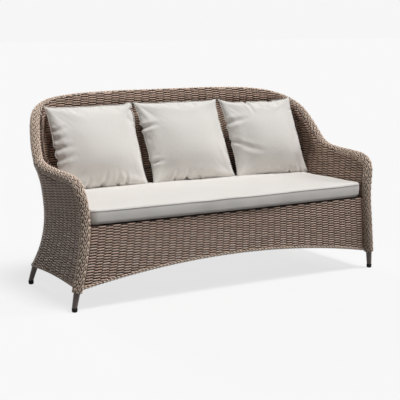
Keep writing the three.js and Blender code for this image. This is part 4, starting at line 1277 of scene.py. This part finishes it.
def creased(co, normals, shares, pillow):
    """Grooves pressed into the front sheet, each with a soft swell on both sides."""
    half = np.array([pillow.width, PILLOW_HEIGHT]) / 2
    here = shares * half
    front = co[:, 1] < 0
    for s0, t0, s1, t1, depth in pillow.creases:
        start, end = np.array([s0, t0]) * half, np.array([s1, t1]) * half
        along = end - start
        t = np.clip((here - start) @ along / (along @ along), 0, 1)
        width = CREASE_WIDTH + CREASE_WIDTH_GAIN * np.linalg.norm(along)
        off = np.linalg.norm(here - (start + t[:, None] * along), axis=1) / width
        groove = SWELL_DEPTH_SHARE * np.exp(-((off - SWELL_PLACE) ** 2)) - np.exp(-(off**2))
        from_seam = max(abs(s0), abs(t0)) > SEAM_SHARE
        fade = (1 - t) ** CREASE_FADE_OUT * np.clip(t * CREASE_FADE_IN + from_seam, 0, 1)
        co = co + normals * (groove * depth * fade * front)[:, None]
    return co


def vertex_normals(co, faces):
    corner = co[faces]
    normal = np.cross(corner[:, 2] - corner[:, 0], corner[:, 3] - corner[:, 1])
    total = np.zeros_like(co)
    for k in range(4):
        np.add.at(total, faces[:, k], normal)
    return unit(total)


def leaned(co, pillow):
    """The cushion's points, leaned against the back on the frame's own line."""
    head = SEAT_TOP_HEIGHT + PILLOW_HEIGHT
    back_at = [BACK_REACH * float(back_line_share(z / BACK_HEIGHT)) for z in (SEAT_TOP_HEIGHT, head)]
    lean = math.atan2(back_at[1] - back_at[0], PILLOW_HEIGHT) + PILLOW_LEAN
    foot_y = back_at[1] + MIDDLE_SHIFT - pillow.head_gap - PILLOW_HEIGHT * math.sin(lean)
    x, y, z = co[:, 0], co[:, 1], co[:, 2] + PILLOW_HEIGHT / 2
    x = x - pillow.slump * z / PILLOW_HEIGHT
    y, z = y * math.cos(lean) + z * math.sin(lean), z * math.cos(lean) - y * math.sin(lean)
    turn = pillow.turn
    x, y = x * math.cos(turn) - y * math.sin(turn), x * math.sin(turn) + y * math.cos(turn)
    return np.stack([x + pillow.foot_x, y + foot_y, z], -1)


def rested(co, seat, seam_radius):
    """The points, with those that are in the seat cushion lifted onto it."""
    for k, (x, y, z) in enumerate(co):
        hit, place, _, _ = seat.ray_cast(Vector((x, y, OVERHEAD)), Vector((0, 0, -1)))
        if hit and z < place.z + seam_radius:
            co[k, 2] = place.z + seam_radius
    return co


def scatter_cushion(word, pillow, seam_radius, seat):
    """A scatter cushion: drawn in, sagging, wrinkled by the simulation, creased and leaned on the back."""
    node = f"{word}_back_cushion"
    co, faces, shares, edge = pillow_sheets(
        pillow.width, PILLOW_HEIGHT, PILLOW_FRONT_CROWN, PILLOW_BACK_CROWN, pillow.top_dip, drawn=1.0,
    )
    width, height = pillow.width * SHEET_WIDTH_SHARE, PILLOW_HEIGHT * SHEET_HEIGHT_SHARE
    flat, *_ = pillow_sheets(width, height, SHEET_FRONT_CROWN, SHEET_BACK_CROWN)
    seed = sum(map(ord, word))
    co = co + wrinkles(blown_up(flat, faces, seed), shares) * WRINKLE_GAIN
    co = leaned(creased(co, vertex_normals(co, faces), shares, pillow), pillow)
    corner = np.abs(shares).min(axis=1) > CORNER_SHARE
    co[:, 2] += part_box(node)[0].z - co[corner, 2].min()
    co = rested(co, seat, seam_radius)
    ob = from_points(f"{node}_cover", co, faces.tolist(), bpy.data.materials[CLOTH])
    smooth = ob.modifiers.new("Smooth", "SUBSURF")
    smooth.levels = smooth.render_levels = 1
    carried(ob, node, "cushion", node)
    seam_round(f"{node}_seam", co[edge], vertex_normals(co, faces)[edge], seam_radius, node, seed=71)


class SOFA_OT_cushions(Operator):
    """Seat cushion and scatter cushions, with their seams"""

    bl_idname = "sofa.cushions"
    bl_label = "Cushions"

    def execute(self, context):
        values = context.scene.sofa_cushions
        seat = seat_cushion(values.piping_radius)
        for word, pillow in PILLOWS.items():
            scatter_cushion(word, pillow, values.pillow_seam, seat)
        return {"FINISHED"}


FLOOR_REACH = 60.0
CAMERA_PLACE = (-2.65037, -4.42748, 1.25066)
CAMERA_AZIMUTH = math.radians(-31)
CAMERA_ELEVATION = math.radians(9.604)
CAMERA_LENS = 94.5
CAMERA_RANGE = 100


def add_sun(name, direction, strength, softness):
    sun = bpy.data.lights.new(name, "SUN")
    sun.energy = strength
    sun.angle = softness
    lamp = bpy.data.objects.new(name, sun)
    bpy.context.scene.collection.objects.link(lamp)
    lamp.rotation_mode = "QUATERNION"
    lamp.rotation_quaternion = Vector(direction).to_track_quat("Z", "Y")


class SOFA_OT_stage(Operator):
    """Floor, backdrop, lamps and camera"""

    bl_idname = "sofa.stage"
    bl_label = "Stage"

    def execute(self, context):
        stage = context.scene.sofa_stage
        scene = context.scene
        corners = np.array([(-1, -1, 0), (1, -1, 0), (1, 1, 0), (-1, 1, 0)]) * FLOOR_REACH
        floor = from_points("floor", corners, [(0, 1, 2, 3)], floor_material("Pale floor", stage))

        scene.world = bpy.data.worlds.new("Even light")
        n = Nodes(scene.world)
        background = n.tree.nodes["Background"].inputs
        n.feed(background["Color"], rgba(stage.backdrop))
        n.feed(background["Strength"], n.spread(n.seen(), stage.sky_strength, 1.0))

        add_sun("Key", stage.key_direction, stage.key_strength, stage.softness)
        add_sun("Side", stage.side_direction, stage.side_strength, stage.softness)
        add_sun("Rear", stage.rear_direction, stage.rear_strength, stage.softness)

        camera = bpy.data.objects.new("Camera", bpy.data.cameras.new("Camera"))
        scene.collection.objects.link(camera)
        camera.location = CAMERA_PLACE
        camera.rotation_euler = (math.pi / 2 - CAMERA_ELEVATION, 0, CAMERA_AZIMUTH)
        camera.data.lens = CAMERA_LENS
        camera.data.clip_end = CAMERA_RANGE
        scene.camera = camera
        scene.view_settings.view_transform = "Standard"
        return {"FINISHED"}


class SOFA_PT_panel(Panel):
    """Lists the sofa's pieces"""

    bl_idname = "SOFA_PT_panel"
    bl_label = "Garden sofa"
    bl_space_type = "VIEW_3D"
    bl_region_type = "UI"
    bl_category = "Garden sofa"

    def draw(self, context):
        for operator in OPERATORS:
            self.layout.operator(operator.bl_idname)


OPERATORS = (
    SOFA_OT_apron, SOFA_OT_sides, SOFA_OT_back, SOFA_OT_border, SOFA_OT_hems, SOFA_OT_cushions,
    SOFA_OT_metal, SOFA_OT_stage,
)
GROUPS = {
    "sofa_weave": SofaWeave,
    "sofa_braid": SofaBraid,
    "sofa_cushions": SofaCushions,
    "sofa_metal": SofaMetal,
    "sofa_stage": SofaStage,
}
CLASSES = (*GROUPS.values(), *OPERATORS, SOFA_PT_panel)


def register():
    for each in CLASSES:
        bpy.utils.register_class(each)
    for name, group in GROUPS.items():
        setattr(bpy.types.Scene, name, PointerProperty(type=group))


def unregister():
    for name in GROUPS:
        delattr(bpy.types.Scene, name)
    for each in reversed(CLASSES):
        bpy.utils.unregister_class(each)


def main():
    register()
    scene = bpy.context.scene
    # hidden_share and dip set how deep the painted shade goes where strands lie in.
    strand_material(WOVEN, scene.sofa_weave.colour, hidden_share=0.05, dip=(0.3, 0.82), roughness=0.45)
    strand_material(BRAIDED, scene.sofa_braid.colour, hidden_share=0.08, dip=(0.26, 0.8), roughness=0.42)
    fabric_material(CLOTH, scene.sofa_cushions.colour, scene.sofa_cushions.thread)
    bpy.ops.sofa.apron()
    bpy.ops.sofa.sides()
    bpy.ops.sofa.back()
    bpy.ops.sofa.border()
    bpy.ops.sofa.hems()
    bpy.ops.sofa.cushions()
    bpy.ops.sofa.metal()
    bpy.ops.sofa.stage()


if __name__ == "__main__":
    main()
